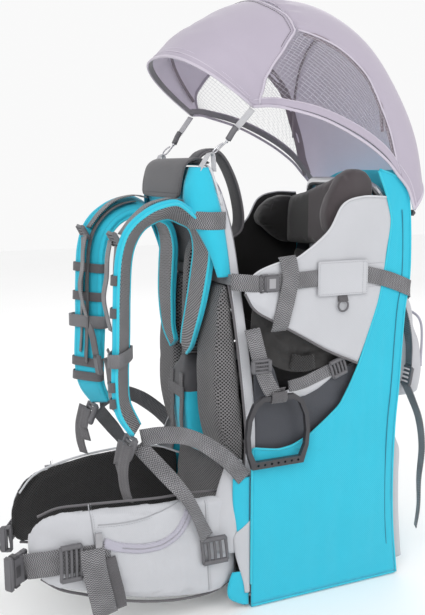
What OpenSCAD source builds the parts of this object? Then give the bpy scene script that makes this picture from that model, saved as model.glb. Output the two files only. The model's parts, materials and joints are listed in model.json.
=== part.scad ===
// Baby carrier backpack: folding tube frame, padded harness and hip belt, child cockpit and sun canopy.
// +X is the wearer's left side, -Y faces the wearer's back, +Z is up and z = 0 is the standing face.

/* [Overall] */
// Width across the two side panels at the base
base_w = 292; // [288:1:298]
// Depth of the base from the wearer's side to the rear
base_d = 288; // [286:1:290]
// Thickness of the sewn side panels
cloth_t = 3; // [2.5:0.5:3]
// Thickness of the floor panel
floor_t = 3; // [2:0.5:3]

/* [Frame] */
// Radius of the back frame tube
tube_r = 9; // [8:0.5:9]
// Radius of the rear hoop and of the kick stand tube
hoop_r = 8; // [7:0.5:8]
// Radius of the cross tubes
cross_r = 7; // [6:0.5:7]
// Radius of the kick stand pivot pins
pin_r = 4; // [3.5:0.5:4]
// Radial clearance of the kick stand on its pins
pin_gap = 0.06; // [0.03:0.01:0.09]

/* [Harness] */
// Width of a padded shoulder strap
shoulder_w = 56; // [52:1:58]
// Thickness of a padded shoulder strap
shoulder_t = 13; // [11:1:13]
// Distance of each shoulder strap from the middle
shoulder_x = 76; // [74:1:78]
// Width of the hip belt webbing
belt_w = 38; // [30:1:40]
// Width of the narrow webbing
web_w = 25; // [20:1:26]
// Thickness of all webbing
web_t = 1.8; // [1.2:0.2:1.8]
// Thickness of a hip belt wing
hip_t = 24; // [18:1:24]

/* [Canopy] */
// Thickness of the canopy cloth
canopy_t = 2.4; // [2:0.2:2.6]
// Radius of the wire bows that hold the canopy open
bow_r = 2.5; // [2:0.25:3]
// Radius of the canopy pivot studs
stud_r = 3; // [2.5:0.25:3]

/* [Hidden] */

side_x = base_w / 2;                    // outer face of a side panel
inner_x = side_x - cloth_t;             // inner face of a side panel
front_y = -158;                         // front edge of the base
tube_x = inner_x - 10 - tube_r;         // frame tube's distance from the middle at the base
tube_y = front_y + 8;                   // frame tube's depth at the base
hoop_x = tube_x;
pin_seat = 0.02;                        // radial clearance of the pivot pins in their brackets
hinge_y = 98;                           // kick stand pivot
hinge_z = 285;
foot_z = 14;                            // centre of the lowest tubes
canopy_pivot = [140, 634];              // (y, z) of the canopy pivot
tube_sides = 12;
grip = 0.5;                             // gap left between neighbouring soft pieces

// Lean of the back: (y, z) down the front of the cloth over the frame.
back_line = [[-161, 22], [-161, 300], [-166, 365], [-179, 500], [-189, 596], [-203, 668]];

// Right half of the back frame, up to the middle of its top.
frame_half = [
    [tube_x, tube_y, foot_z], [tube_x, tube_y, 160], [tube_x, tube_y, 300], [tube_x - 6, -158, 400],
    [tube_x - 15, -168, 500], [tube_x - 25, -178, 596], [tube_x - 34, -190, 655], [tube_x - 54, -194, 682],
    [40, -195, 688], [0, -195, 689]
];
hoop_half = [
    [hoop_x, hinge_y + 2, 312], [hoop_x, 101, 400], [hoop_x, 107, 480], [hoop_x, 112, 560], [hoop_x - 2, 108, 620],
    [hoop_x - 14, 95, 664], [hoop_x - 44, 82, 682], [40, 78, 684], [0, 78, 684]
];

// Side cloth, (y, z): the lower bag, the leg opening and the sleeve that climbs over the rear hoop.
bag_rear = [[130, floor_t], [119, 96], [115, 182], [116, 274], [121, 344], [127, 466], [135, 535], [131, 634],
            [117, 683], [66, 706]];
sleeve_front = [[85, 662], [96, 624], [86, 549], [75, 489], [39, 388]];
leg_opening = [[23, 355], [4, 322], [-24, 300], [-55, 278], [-86, 265], [-111, 262], [-149, 269], [front_y, 275]];
wing_outline = [[-174, 525], [-149, 551], [-106, 565], [-79, 570], [-26, 608], [1, 650], [38, 662], [83, 661],
                [94, 624], [84, 549], [73, 490], [36, 390], [-20, 415], [-77, 447], [-128, 475], [-156, 493]];

// Canopy: (y, z) along its lower edges and along its crown, from the front to the rear.
canopy_edge = [[-146, 799], [-122, 800], [-99, 796], [-37, 780], [28, 751], [77, 720], [108, 693], [140, 668],
               [152, 642]];
canopy_crown = [[-257, 877], [-218, 914], [-176, 941], [-111, 970], [-18, 974], [61, 945], [135, 886], [196, 806],
                [236, 722]];
canopy_half_w = [117, 128, 138, 146, 149, 149.5, 149.5, 149.5, 149.5];
canopy_cols = 14;
crown_power = 0.8;                      // below 1 squares the canopy's shoulders

// Shoulder strap: [x, y, z, width, thickness] from the yoke on the back, over the top and down the front.
strap_route = [
    [shoulder_x - 52, -220, 415, 24, 9], [shoulder_x - 32, -221, 445, 44, 10], [shoulder_x - 14, -217, 495, 56, 12],
    [shoulder_x - 6, -212, 540, 62, shoulder_t], [shoulder_x - 2, -209, 580, 62, shoulder_t],
    [shoulder_x, -217, 612, 60, shoulder_t], [shoulder_x, -240, 633, shoulder_w, shoulder_t],
    [shoulder_x, -275, 645, shoulder_w, shoulder_t], [shoulder_x, -315, 638, shoulder_w, shoulder_t],
    [shoulder_x, -346, 614, shoulder_w, shoulder_t], [shoulder_x, -361, 578, shoulder_w, shoulder_t],
    [shoulder_x, -366, 520, shoulder_w, shoulder_t], [shoulder_x, -368, 450, shoulder_w, shoulder_t],
    [shoulder_x, -371, 390, shoulder_w, shoulder_t], [shoulder_x + 2, -368, 345, shoulder_w - 6, 12],
    [shoulder_x + 8, -350, 308, 40, 9]
];

// Hip wing: [x, y, middle z, height, thickness] from the lumbar pad round to the front.
hip_route = [
    [119, -178, 115, 140, 16], [127, -215, 116, 164, hip_t], [132, -262, 118, 168, hip_t],
    [137, -315, 121, 158, hip_t], [138, -373, 130, 146, hip_t], [135, -431, 142, 126, hip_t],
    [127, -466, 148, 112, hip_t], [115, -492, 152, 82, 20], [104, -508, 153, 40, 10]
];

// Back pad: [z, back y, front y, inner x, outer x] from its bottom to its top.
pad_rings = [
    [226, -163, -171, 46, 128], [238, -163, -188, 38, 134], [300, -163, -206, 36, 137], [365, -168.5, -210, 36, 134],
    [430, -175, -208, 36, 130], [490, -181, -202, 40, 124], [532, -185, -195, 46, 116]
];

// Padded column down the middle of the back: [z, back y, front y, half width].
spine_column = [
    [232, -160, -168, 28], [246, -160, -212, 34], [330, -162, -224, 34], [370, -166, -224, 31], [400, -169, -214, 11],
    [470, -174, -214, 10], [560, -184, -208, 12], [590, -187, -198, 12]
];

// Headboard: [z, front y, front half width, back y, back half width].
headboard_rings = [
    [651, -247, 88, -206, 103], [668, -250, 87, -210, 101], [690, -248, 84, -216, 97], [703, -243, 80, -222, 92]
];

function unit(v) = v / norm(v);
function spline_at(p, i, t) =
    let (a = p[max(i - 1, 0)], b = p[i], c = p[i + 1], d = p[min(i + 2, len(p) - 1)])
    0.5 * (2 * b + (c - a) * t + (2 * a - 5 * b + 4 * c - d) * t * t + (3 * b - a - 3 * c + d) * t * t * t);
function curve(p, steps) =
    concat([for (i = [0:len(p) - 2]) for (s = [0:steps - 1]) spline_at(p, i, s / steps)], [p[len(p) - 1]]);
function whole_bow(half) =
    concat(half, [for (i = [len(half) - 2:-1:0]) [-half[i][0], half[i][1], half[i][2]]]);
function place(p) = [p[0], p[1], p[2]];
function heading(p, i) = unit(place(p[min(i + 1, len(p) - 1)]) - place(p[max(i - 1, 0)]));

// Points of a ring round a centre: a rounded rectangle w wide and t thick.
function ring(centre, across, out, w, t, sides, power) = [
    for (k = [0:sides - 1])
        let (a = 360 * (k + 0.5) / sides, c = cos(a), s = sin(a))
        centre + across * (w / 2 * sign(c) * pow(abs(c), power)) + out * (t / 2 * sign(s) * pow(abs(s), power))
];

// Closes a stack of rings into one solid.
module skin(rings) {
    n = len(rings[0]);
    last = (len(rings) - 1) * n;
    points = [for (r = rings) for (p = r) p];
    sides = [
        for (i = [0:len(rings) - 2]) for (j = [0:n - 1])
            let (a = i * n + j, b = i * n + (j + 1) % n)
            each [[a, b + n, b], [a, a + n, b + n]]
    ];
    caps = [[for (j = [0:n - 1]) j], [for (j = [n - 1:-1:0]) last + j]];
    polyhedron(points, concat(sides, caps), convexity = 6);
}

// A round tube along a route.
module rod(route, r, level = [0, 1, 0]) {
    skin([
        for (i = [0:len(route) - 1])
            let (t = heading(route, i), a = unit(cross(level, t)))
            ring(route[i], a, cross(t, a), 2 * r, 2 * r, tube_sides, 1)
    ]);
}

// A flat strap along a route of [x, y, z, width, thickness]; side is the direction of its width.
module strap(route, side = [1, 0, 0], sides = 8, power = 0.35) {
    skin([
        for (i = [0:len(route) - 1])
            let (t = heading(route, i), a = unit(side - t * (side * t)))
            ring(place(route[i]), a, cross(t, a), route[i][3], route[i][4], sides, power)
    ]);
}

// Webbing of one width along a route of points.
module webbing(route, w, side = [1, 0, 0]) {
    strap([for (p = route) [p[0], p[1], p[2], w, web_t]], side, 4, 0.01);
}

// A curved sheet of cloth through a grid of points.
function grid_normal(g, i, j) =
    let (r = len(g) - 1, c = len(g[0]) - 1)
    unit(cross(g[min(i + 1, r)][j] - g[max(i - 1, 0)][j], g[i][min(j + 1, c)] - g[i][max(j - 1, 0)]));
module sheet(grid, t) {
    rows = len(grid);
    cols = len(grid[0]);
    lift = rows * cols;
    points = [
        for (s = [-1, 1]) for (i = [0:rows - 1]) for (j = [0:cols - 1]) grid[i][j] + grid_normal(grid, i, j) * s * t / 2
    ];
    faces = [
        for (i = [0:rows - 2]) for (j = [0:cols - 2])
            let (a = i * cols + j, b = a + 1, c = a + cols, d = c + 1)
            each [[a, c, d], [a, d, b], [a + lift, d + lift, c + lift], [a + lift, b + lift, d + lift]]
    ];
    rim = concat(
        [for (j = [0:cols - 1]) j],
        [for (i = [1:rows - 1]) i * cols + cols - 1],
        [for (j = [cols - 2:-1:0]) (rows - 1) * cols + j],
        [for (i = [rows - 2:-1:1]) i * cols]
    );
    walls = [
        for (k = [0:len(rim) - 1])
            let (a = rim[k], b = rim[(k + 1) % len(rim)])
            each [[a, b, b + lift], [a, b + lift, a + lift]]
    ];
    polyhedron(points, concat(faces, walls), convexity = 6);
}

// Extrudes a (y, z) outline along X between two planes.
module slab_x(outline, x0, x1) {
    translate([x0, 0, 0]) rotate([90, 0, 90]) linear_extrude(x1 - x0) polygon(outline);
}

// Thickens a (y, z) line into an outline.
function line_normal(p, i) =
    let (d = unit(p[min(i + 1, len(p) - 1)] - p[max(i - 1, 0)])) [-d[1], d[0]];
function thick(p, t) = concat(
    [for (i = [0:len(p) - 1]) p[i] + line_normal(p, i) * t / 2],
    [for (i = [len(p) - 1:-1:0]) p[i] - line_normal(p, i) * t / 2]
);

module both() {
    children();
    mirror([1, 0, 0]) children();
}
module rod_x(x0, x1, y, z, r) {
    translate([x0, y, z]) rotate([0, 90, 0]) cylinder(h = x1 - x0, r = r, $fn = 48);
}
module block(low, high) {
    translate(low) cube(high - low);
}
// A ladder lock: a flat plate with two webbing slots, facing -Y.
module ladder_lock(w, h, t) {
    slot = 3;
    difference() {
        block([-w / 2, -t / 2, -h / 2], [w / 2, t / 2, h / 2]);
        for (z = [-h / 4, h / 4])
            block([-w / 2 + 3, -t, z - slot / 2], [w / 2 - 3, t, z + slot / 2]);
    }
}

// ---- Frame ----

module back_frame() {
    color("silver") rod(whole_bow(curve(frame_half, 3)), tube_r, [0, 1, 0]);
}
module frame_crossbars() {
    color("silver") {
        rod_x(-tube_x, tube_x, tube_y, foot_z + 14, cross_r);
        rod_x(-tube_x, tube_x, tube_y, 262, cross_r);
        rod_x(12 - tube_x, tube_x - 12, -166, 478, cross_r);
    }
}
module rear_hoop() {
    color("silver") rod(whole_bow(curve(hoop_half, 3)), hoop_r, [0, 1, 0]);
}
module side_rails() {
    color("silver") both()
        translate([tube_x, tube_y, 312]) rotate([-90, 0, 0]) cylinder(h = hinge_y - tube_y, r = cross_r, $fn = 48);
}
module hinge_brackets() {
    ear_t = 4;
    gap = hoop_r + 1;
    color("dimgray") both() translate([hoop_x, hinge_y, hinge_z]) difference() {
        block([-gap - ear_t, -14, -14], [gap + ear_t, 11, 36]);
        block([-gap, -20, -20], [gap, 20, 15]);
        rod_x(-30, 30, 0, 0, pin_r + pin_seat);
    }
}
module pivot_pins() {
    color("lightgray") both() rod_x(hoop_x - 15, hoop_x + 15, hinge_y, hinge_z, pin_r);
}
module kick_stand() {
    leg_top = hinge_z + 9;
    color("gray") difference() {
        union() {
            both() {
                translate([hoop_x, hinge_y, foot_z]) cylinder(h = leg_top - foot_z, r = hoop_r, $fn = 48);
                translate([hoop_x, hinge_y, foot_z]) sphere(r = hoop_r, $fn = 48);
            }
            rod_x(-hoop_x, hoop_x, hinge_y, foot_z, hoop_r);
        }
        both() rod_x(hoop_x - 20, hoop_x + 20, hinge_y, hinge_z, pin_r + pin_gap);
    }
}

// ---- Back and headboard ----

sleeve_route = [
    [tube_x + 11.5, -157, 20, 16, 1.6], [tube_x + 11.5, -157, 300, 16, 1.6], [tube_x + 7, -163, 395, 16, 1.6],
    [tube_x - 2.5, -173, 500, 15, 1.6], [tube_x - 13, -183, 596, 13, 1.6], [tube_x - 19.5, -198, 668, 11, 1.6]
];
module frame_sleeve() {
    color("gainsboro") both() strap(curve(sleeve_route, 2), [0, 1, 0], 4, 0.01);
}
module spine_panel() {
    color("dimgray") {
        slab_x(thick(back_line, 2), -96, 96);
        skin([for (c = spine_column) ring([0, (c[1] + c[2]) / 2, c[0]], [1, 0, 0], [0, 1, 0], 2 * c[3], c[1] - c[2], 12, 0.6)]);
    }
}
module back_pad() {
    skin([
        for (p = pad_rings)
            ring([(p[3] + p[4]) / 2, (p[1] + p[2]) / 2, p[0]], [1, 0, 0], [0, 1, 0], p[4] - p[3], p[1] - p[2], 16, 0.7)
    ]);
}
module back_pad_left() {
    color("slategray") mirror([1, 0, 0]) back_pad();
}
module back_pad_right() {
    color("slategray") back_pad();
}
module lumbar_pad() {
    color("slategray") slab_x([[-163, 44], [-163, 196], [-176, 200], [-188, 186], [-192, 120], [-188, 54], [-176, 40]],
                              -104, 104);
}
module headboard() {
    color("turquoise") {
        skin([
            for (h = headboard_rings)
                [[h[4], h[3], h[0]], [-h[4], h[3], h[0]], [-h[2], h[1], h[0]], [h[2], h[1], h[0]]]
        ]);
        both() strap([[116, -194, 545, 12, 12], [112, -202, 600, 9, 16], [107, -212, 650, 7, 18]], [1, 0, 0], 4, 0.01);
    }
}
module headboard_flap() {
    color("dimgray") strap([
        for (p = curve([[-254, 655], [-255, 680], [-251, 702], [-238, 711], [-222, 714], [-204, 712]], 2))
            [0, p[0], p[1], 168, 2.4]
    ], [1, 0, 0], 4, 0.01);
}
module carry_handle() {
    color("dimgray") strap([
        for (p = curve([[-198, 717], [-182, 731], [-160, 734], [-141, 716], [-122, 676], [-112, 628], [-118, 602],
                        [-146, 590], [-166, 590]], 3))
            [0, p[0], p[1], 34, 7]
    ]);
}
module hook_loops() {
    color("white") both()
        webbing([[99, -222, 706], [100, -219, 722], [101, -214, 729], [101, -208, 722], [101, -206, 706]], 9);
}

// ---- Cockpit ----

module side_cloth() {
    slab_x(concat([[front_y, floor_t]], bag_rear, sleeve_front, leg_opening), inner_x, side_x);
}
module side_panel_left() {
    color("darkturquoise") mirror([1, 0, 0]) side_cloth();
}
module side_panel_right() {
    color("darkturquoise") side_cloth();
}
module base_panel() {
    color("darkturquoise") block([-side_x, front_y, 0], [side_x, front_y + base_d, floor_t]);
}
module rear_panel() {
    line = [for (p = bag_rear) [p[0] - 3, max(p[1], floor_t + 1)]];
    color("darkturquoise") slab_x(thick(line, cloth_t), grip - inner_x, inner_x - grip);
}
module rear_pocket() {
    color("gainsboro") slab_x([[122, 302], [122, 344], [129, 470], [133, 496], [180, 498], [200, 474], [214, 438],
                               [228, 381], [228, 335], [198, 302]], -86, 86);
}
module side_wing_left() {
    color("gainsboro") mirror([1, 0, 0]) slab_x(wing_outline, inner_x, side_x);
}
module side_wing_right() {
    color("gainsboro") slab_x(wing_outline, inner_x, side_x);
}
module headrest() {
    arm = [[66, 566], [66, 690], [58, 702], [40, 704], [24, 692], [4, 664], [-14, 634], [-10, 612], [14, 586], [36, 566]];
    color("dimgray") {
        both() slab_x(arm, 100, 134);
        slab_x([[34, 566], [66, 566], [66, 690], [58, 700], [42, 700], [34, 690]], -134, 134);
    }
}
module backrest() {
    color("dimgray") block([-112, 54, 350], [112, 66, 562]);
}
module seat_pan() {
    color("dimgray") translate([0, 0, 322]) linear_extrude(24)
        polygon([[-40, -116], [40, -116], [52, -60], [100, -14], [104, 46], [-104, 46], [-100, -14], [-52, -60]]);
}
module child_harness() {
    color("gray") both() {
        webbing([for (p = [[50, 558], [48, 500], [45, 430]]) [44, p[0], p[1]]], web_w);
        webbing([[58, 50, 408], [60, 20, 402], [56, -20, 404], [40, -50, 414]], web_w, [0, 0, 1]);
    }
}
module harness_buckle() {
    color("black") difference() {
        block([-24, -62, 396], [24, -52, 424]);
        block([-16, -70, 405], [16, -40, 409]);
    }
}

// ---- Harness ----

module shoulder_strap() {
    strap(curve(strap_route, 2), [1, 0, 0], 8, 0.4);
}
module shoulder_strap_left() {
    color("darkturquoise") mirror([1, 0, 0]) shoulder_strap();
}
module shoulder_strap_right() {
    color("darkturquoise") shoulder_strap();
}
module load_lifters() {
    color("gray") both() {
        webbing([for (p = [[-251, 649], [-280, 656], [-320, 649], [-350, 627], [-364, 610]]) [shoulder_x, p[0], p[1]]],
                22);
        webbing([for (p = [[-374, 596], [-378, 560], [-385, 520], [-381, 492]]) [shoulder_x - 18, p[0], p[1]]], 20);
    }
}
module lifter_locks() {
    color("black") both() translate([shoulder_x, -372, 604]) rotate([30, 0, 0]) ladder_lock(30, 22, 5);
}
lower_front = [[98, -348, 284], [124, -322, 254], [151, -288, 214], [150, -252, 164], [148.5, -240, 146]];
lower_rear = [[100, -340, 300], [116, -300, 303], [132, -245, 282], [144.5, -200, 252], [145, -172, 226]];
module lower_straps() {
    color("gray") both() {
        webbing(curve(lower_front, 3), web_w, [0, 0.7, -0.7]);
        webbing(curve(lower_rear, 3), web_w, [0, 0.3, 1]);
        webbing([[104, -372, 292], [104, -378, 250], [106, -372, 208]], web_w);
    }
}
module lower_locks() {
    color("black") both() translate([94, -362, 286]) rotate([-20, 0, 0]) ladder_lock(34, 24, 6);
}
module sternum_band(z) {
    reach = 5;
    translate([shoulder_x, -369.5, z]) difference() {
        block([-shoulder_w / 2 - reach, -shoulder_t / 2 - reach, -11], [shoulder_w / 2 + reach, shoulder_t / 2 + reach, 11]);
        block([-shoulder_w / 2 - 2.5, -shoulder_t / 2 - 2.5, -20], [shoulder_w / 2 + 2.5, shoulder_t / 2 + 2.5, 20]);
    }
    block([shoulder_x - shoulder_w / 2 - reach - 24, -374, z - 17], [shoulder_x - shoulder_w / 2 - reach, -364, z + 9]);
}
module sternum_strap_left() {
    color("gray") mirror([1, 0, 0]) sternum_band(453);
}
module sternum_strap_right() {
    color("gray") sternum_band(425);
}

// ---- Hip belt ----

module hip_wing() {
    strap(curve(hip_route, 2), [0, 0, 1], 12, 0.55);
}
module hip_wing_left() {
    color("gainsboro") mirror([1, 0, 0]) hip_wing();
}
module hip_wing_right() {
    color("gainsboro") hip_wing();
}
module hip_webbing() {
    color("gray") both() {
        webbing(curve([[150.5, -300, 127], [152.5, -373, 132], [150, -431, 142], [141.5, -468, 148], [129, -498, 151],
                       [116, -518, 151]], 2), belt_w, [0, 0, 1]);
        webbing(curve([[160, -434, 142], [163, -424, 112], [161, -412, 86], [157, -404, 72]], 2), web_w, [0, 1, 0]);
    }
}
module hip_triglides() {
    color("black") both() translate([147.5, -452, 145]) rotate([0, 0, -15]) translate([6.5, 0, 0])
        difference() {
            block([-2, -9, -26], [2, 9, 26]);
            for (y = [-5, 5])
                block([-4, y - 1.5, -21], [4, y + 1.5, 21]);
        }
}
module hip_buckle(plug) {
    body_h = 48;
    translate([108, -532, 151]) rotate([0, 0, 40]) {
        difference() {
            block([-6, -22, -body_h / 2], [6, 8, body_h / 2]);
            if (!plug) block([-3.5, -30, -18], [3.5, 2, 18]);
            block([-8, 2, -20], [8, 5, 20]);
        }
        if (plug) for (z = [-14, 0, 14])
            block([-3, -42, z - 3], [3, -20, z + 3]);
    }
}
module hip_buckle_female() {
    color("black") hip_buckle(false);
}
module hip_buckle_male() {
    color("black") mirror([1, 0, 0]) hip_buckle(true);
}

// ---- Side fittings ----

stirrup_pivot = [side_x + 10, -118, 352];
module stirrup() {
    outline = [[-28, 4], [28, 4], [44, -7], [54, -30], [57, -58], [55, -84], [46, -112], [-46, -112], [-55, -84],
               [-57, -58], [-54, -30], [-44, -7]];
    window = [[-26, -4], [26, -4], [38, -12], [47, -33], [50, -58], [48, -82], [40, -100], [-40, -100], [-48, -82],
              [-50, -58], [-47, -33], [-38, -12]];
    hole_step = 12;
    translate(stirrup_pivot) difference() {
        slab_x(outline, -4, 4);
        slab_x(window, -5, 5);
        for (k = [-3:3])
            rod_x(-6, 6, k * hole_step, -106, 2);
    }
}
module stirrup_left() {
    color("dimgray") mirror([1, 0, 0]) stirrup();
}
module stirrup_right() {
    color("dimgray") stirrup();
}
module stirrup_webs() {
    color("gray") both()
        webbing([[side_x + 4, -146, 452], [side_x + 5, -140, 420], [side_x + 7, -130, 385], [side_x + 9, -120, 364]],
                web_w, [0, 1, 0]);
}
module side_webbing() {
    x = side_x + 1.5;
    color("gray") both() {
        webbing([[x, -184, 538], [x, -144, 538]], web_w, [0, 0, 1]);
        webbing([[x, -115, 538], [x, 50, 536]], web_w, [0, 0, 1]);
        webbing([[x, 52, 536], [x, 90, 526], [x, 134, 508]], web_w, [0, 0, 1]);
        webbing([[x + 3, -98, 566], [x + 3.5, -101, 520], [x + 3, -112, 462]], 28, [0, 1, 0]);
    }
}
module side_buckles() {
    color("silver") both() difference() {
        block([side_x + 1, -143, 525], [side_x + 10, -117, 551]);
        block([side_x, -140, 530], [side_x + 11, -137, 546]);
    }
}
module side_patches() {
    color("gainsboro") both() block([side_x + 3.2, -46, 507], [side_x + 5.5, 48, 563]);
}
ring_pivot = [side_x + 5, 2, 497];
module d_ring() {
    translate(ring_pivot - [0, 0, 8]) rotate([0, 90, 0]) rotate_extrude($fn = 48) translate([9, 0]) circle(r = 1.6, $fn = 24);
}
module d_ring_left() {
    color("gray") mirror([1, 0, 0]) d_ring();
}
module d_ring_right() {
    color("gray") d_ring();
}
module d_ring_tabs() {
    color("gray") both() block([side_x + 1, -7, 499.5], [side_x + 3, 11, 506.5]);
}
module zip_pull_hip() {
    color("silver") difference() {
        block([154.5, -419, 150], [157.5, -409, 182]);
        rod_x(150, 160, -414, 156, 2.5);
    }
}
module zip_pull_left() {
    mirror([1, 0, 0]) zip_pull_hip();
}
module zip_pull_right() {
    zip_pull_hip();
}
module zip_pull_rear() {
    color("silver") block([108, 119, 262], [116, 122.5, 290]);
}
module rear_straps() {
    color("gray") both() {
        webbing([[100, 150, 500], [104, 143, 512], [110, 139.5, 530]], web_w);
        webbing([[100, 136, 300], [100, 150, 240], [102, 168, 150], [100, 172, 80]], web_w);
    }
}

// ---- Canopy ----

function canopy_point(i, u) =
    let (e = canopy_edge[i], c = canopy_crown[i], w = canopy_half_w[i], k = pow(abs(sin(u)), crown_power),
         s = sign(cos(u)) * pow(abs(cos(u)), crown_power))
    [w * s, e[0] + (c[0] - e[0]) * k, e[1] + (c[1] - e[1]) * k];
module canopy_cover() {
    color("thistle") sheet([
        for (i = [0:len(canopy_edge) - 1]) [for (j = [0:canopy_cols]) canopy_point(i, 180 * j / canopy_cols)]
    ], canopy_t);
}
module canopy_bow(i) {
    inset = 0.955;
    middle = [0, canopy_edge[i][0], canopy_edge[i][1]];
    rod([for (j = [0:16]) middle + (canopy_point(i, 8 + 164 * j / 16) - middle) * inset], bow_r, [0, 1, 0.6]);
}
module canopy_bows() {
    color("white") {
        canopy_bow(1);
        canopy_bow(5);
    }
}
module canopy_studs() {
    y = canopy_pivot[0];
    z = canopy_pivot[1];
    color("black") both() {
        rod_x(138, side_x - 1, y, z, stud_r);
        block([136, y - 9, z - 5], [140, y + 4, z + 5]);
    }
}
module hook() {
    color("white") {
        webbing([[118, -150, 793], [114, -166, 774], [111, -174, 762]], 12);
        strap([[110, -178, 757, 9, 4], [107, -187, 748, 7, 4], [104, -197, 738, 4, 4]], [1, 0, 0], 8, 0.6);
    }
}
module hook_left() {
    mirror([1, 0, 0]) hook();
}
module hook_right() {
    hook();
}

back_frame();
frame_crossbars();
rear_hoop();
side_rails();
hinge_brackets();
pivot_pins();
kick_stand();
frame_sleeve();
spine_panel();
back_pad_left();
back_pad_right();
lumbar_pad();
headboard();
headboard_flap();
carry_handle();
hook_loops();
side_panel_left();
side_panel_right();
base_panel();
rear_panel();
rear_pocket();
side_wing_left();
side_wing_right();
headrest();
backrest();
seat_pan();
child_harness();
harness_buckle();
shoulder_strap_left();
shoulder_strap_right();
load_lifters();
lifter_locks();
lower_straps();
lower_locks();
sternum_strap_left();
sternum_strap_right();
hip_wing_left();
hip_wing_right();
hip_webbing();
hip_triglides();
hip_buckle_female();
hip_buckle_male();
stirrup_webs();
stirrup_left();
stirrup_right();
side_webbing();
side_buckles();
side_patches();
d_ring_tabs();
d_ring_left();
d_ring_right();
zip_pull_left();
zip_pull_right();
zip_pull_rear();
rear_straps();
canopy_studs();
canopy_cover();
canopy_bows();
hook_left();
hook_right();
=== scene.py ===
"""Baby carrier backpack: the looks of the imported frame.

Lengths in this file are millimetres until a mesh is made. +Y points to the back of the bag, -Y to the wearer.
"""
import math
import bpy
import bmesh
import numpy as np
from mathutils import Euler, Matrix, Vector, noise
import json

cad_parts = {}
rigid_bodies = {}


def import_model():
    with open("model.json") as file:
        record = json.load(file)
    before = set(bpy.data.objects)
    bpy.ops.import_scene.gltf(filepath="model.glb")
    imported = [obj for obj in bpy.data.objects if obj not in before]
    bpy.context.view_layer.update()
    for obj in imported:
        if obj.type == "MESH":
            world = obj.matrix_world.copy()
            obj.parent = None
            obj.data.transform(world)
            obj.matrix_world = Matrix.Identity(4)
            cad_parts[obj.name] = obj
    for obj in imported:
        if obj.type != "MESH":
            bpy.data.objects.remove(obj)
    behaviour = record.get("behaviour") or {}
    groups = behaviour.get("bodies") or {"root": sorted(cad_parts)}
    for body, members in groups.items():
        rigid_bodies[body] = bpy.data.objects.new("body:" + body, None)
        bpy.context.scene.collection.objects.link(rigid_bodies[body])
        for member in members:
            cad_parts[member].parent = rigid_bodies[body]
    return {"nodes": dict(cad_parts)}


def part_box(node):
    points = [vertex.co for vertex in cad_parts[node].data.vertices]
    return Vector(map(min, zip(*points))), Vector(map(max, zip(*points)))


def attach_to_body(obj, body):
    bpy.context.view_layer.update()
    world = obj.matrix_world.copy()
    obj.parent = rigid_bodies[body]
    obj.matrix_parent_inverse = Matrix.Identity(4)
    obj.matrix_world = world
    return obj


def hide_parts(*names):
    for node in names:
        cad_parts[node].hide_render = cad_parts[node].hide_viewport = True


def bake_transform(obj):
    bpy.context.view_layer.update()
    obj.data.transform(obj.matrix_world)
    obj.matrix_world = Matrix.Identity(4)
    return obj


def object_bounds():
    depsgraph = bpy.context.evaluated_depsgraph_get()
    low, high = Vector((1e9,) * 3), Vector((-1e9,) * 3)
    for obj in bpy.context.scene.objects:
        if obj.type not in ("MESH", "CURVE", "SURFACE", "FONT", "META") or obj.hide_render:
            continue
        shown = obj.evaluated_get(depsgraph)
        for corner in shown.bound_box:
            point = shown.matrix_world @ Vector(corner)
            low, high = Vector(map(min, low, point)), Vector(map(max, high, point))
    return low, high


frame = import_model()
CAD_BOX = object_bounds()

MM = 0.001
LEFT_RIGHT = (("right", 1), ("left", -1))
SIDE_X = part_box("side_panel_right")[1][0] / MM      # outer face of the side cloth


# ---------------------------------------------------------------- curves and meshes

def curve(points, step=5.0):
    """A smooth line through the points (any number of columns), one point every step mm."""
    p = np.array(points, float)
    ends = np.vstack([2 * p[0] - p[1], p, 2 * p[-1] - p[-2]])
    fine = []
    for i in range(len(p) - 1):
        a, b, c, d = ends[i:i + 4]
        t = np.linspace(0, 1, 24, endpoint=False)[:, None]
        fine.append(0.5 * (2 * b + (c - a) * t + (2 * a - 5 * b + 4 * c - d) * t ** 2
                           + (3 * b - a - 3 * c + d) * t ** 3))
    fine = np.vstack(fine + [p[-1:]])
    return even(fine, step)


def even(p, step):
    """The same line with its points evenly spaced."""
    p = np.array(p, float)
    gaps = np.linalg.norm(np.diff(p[:, :3], axis=0), axis=1)
    at = np.concatenate([[0], np.cumsum(gaps)])
    count = max(2, int(round(at[-1] / step)) + 1)
    want = np.linspace(0, at[-1], count)
    return np.column_stack([np.interp(want, at, p[:, k]) for k in range(p.shape[1])])


def count_to(p, n):
    """The same line with exactly n evenly spaced points."""
    p = np.array(p, float)
    gaps = np.linalg.norm(np.diff(p, axis=0), axis=1)
    at = np.concatenate([[0], np.cumsum(gaps)])
    want = np.linspace(0, at[-1], n)
    return np.column_stack([np.interp(want, at, p[:, k]) for k in range(p.shape[1])])


def on_side(sx, points):
    """Points of the right side, or their mirror image when sx is -1."""
    return [[sx * x, y, z] for x, y, z in points]


def on_x(x, yz):
    """(y, z) points put on the plane at x."""
    return [[x, y, z] for y, z in yz]


def heading(p):
    """The direction of a line at each of its points."""
    d = np.gradient(p, axis=0)
    return d / np.linalg.norm(d, axis=1)[:, None]


def attach(obj, body, replaces=()):
    """Lets a piece ride on a body and stand for CAD nodes."""
    if body:
        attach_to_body(obj, body)
    if replaces:
        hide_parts(*([replaces] if isinstance(replaces, str) else replaces))
    return obj


def as_list(mats):
    return list(mats) if isinstance(mats, (list, tuple)) else [mats]


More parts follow.
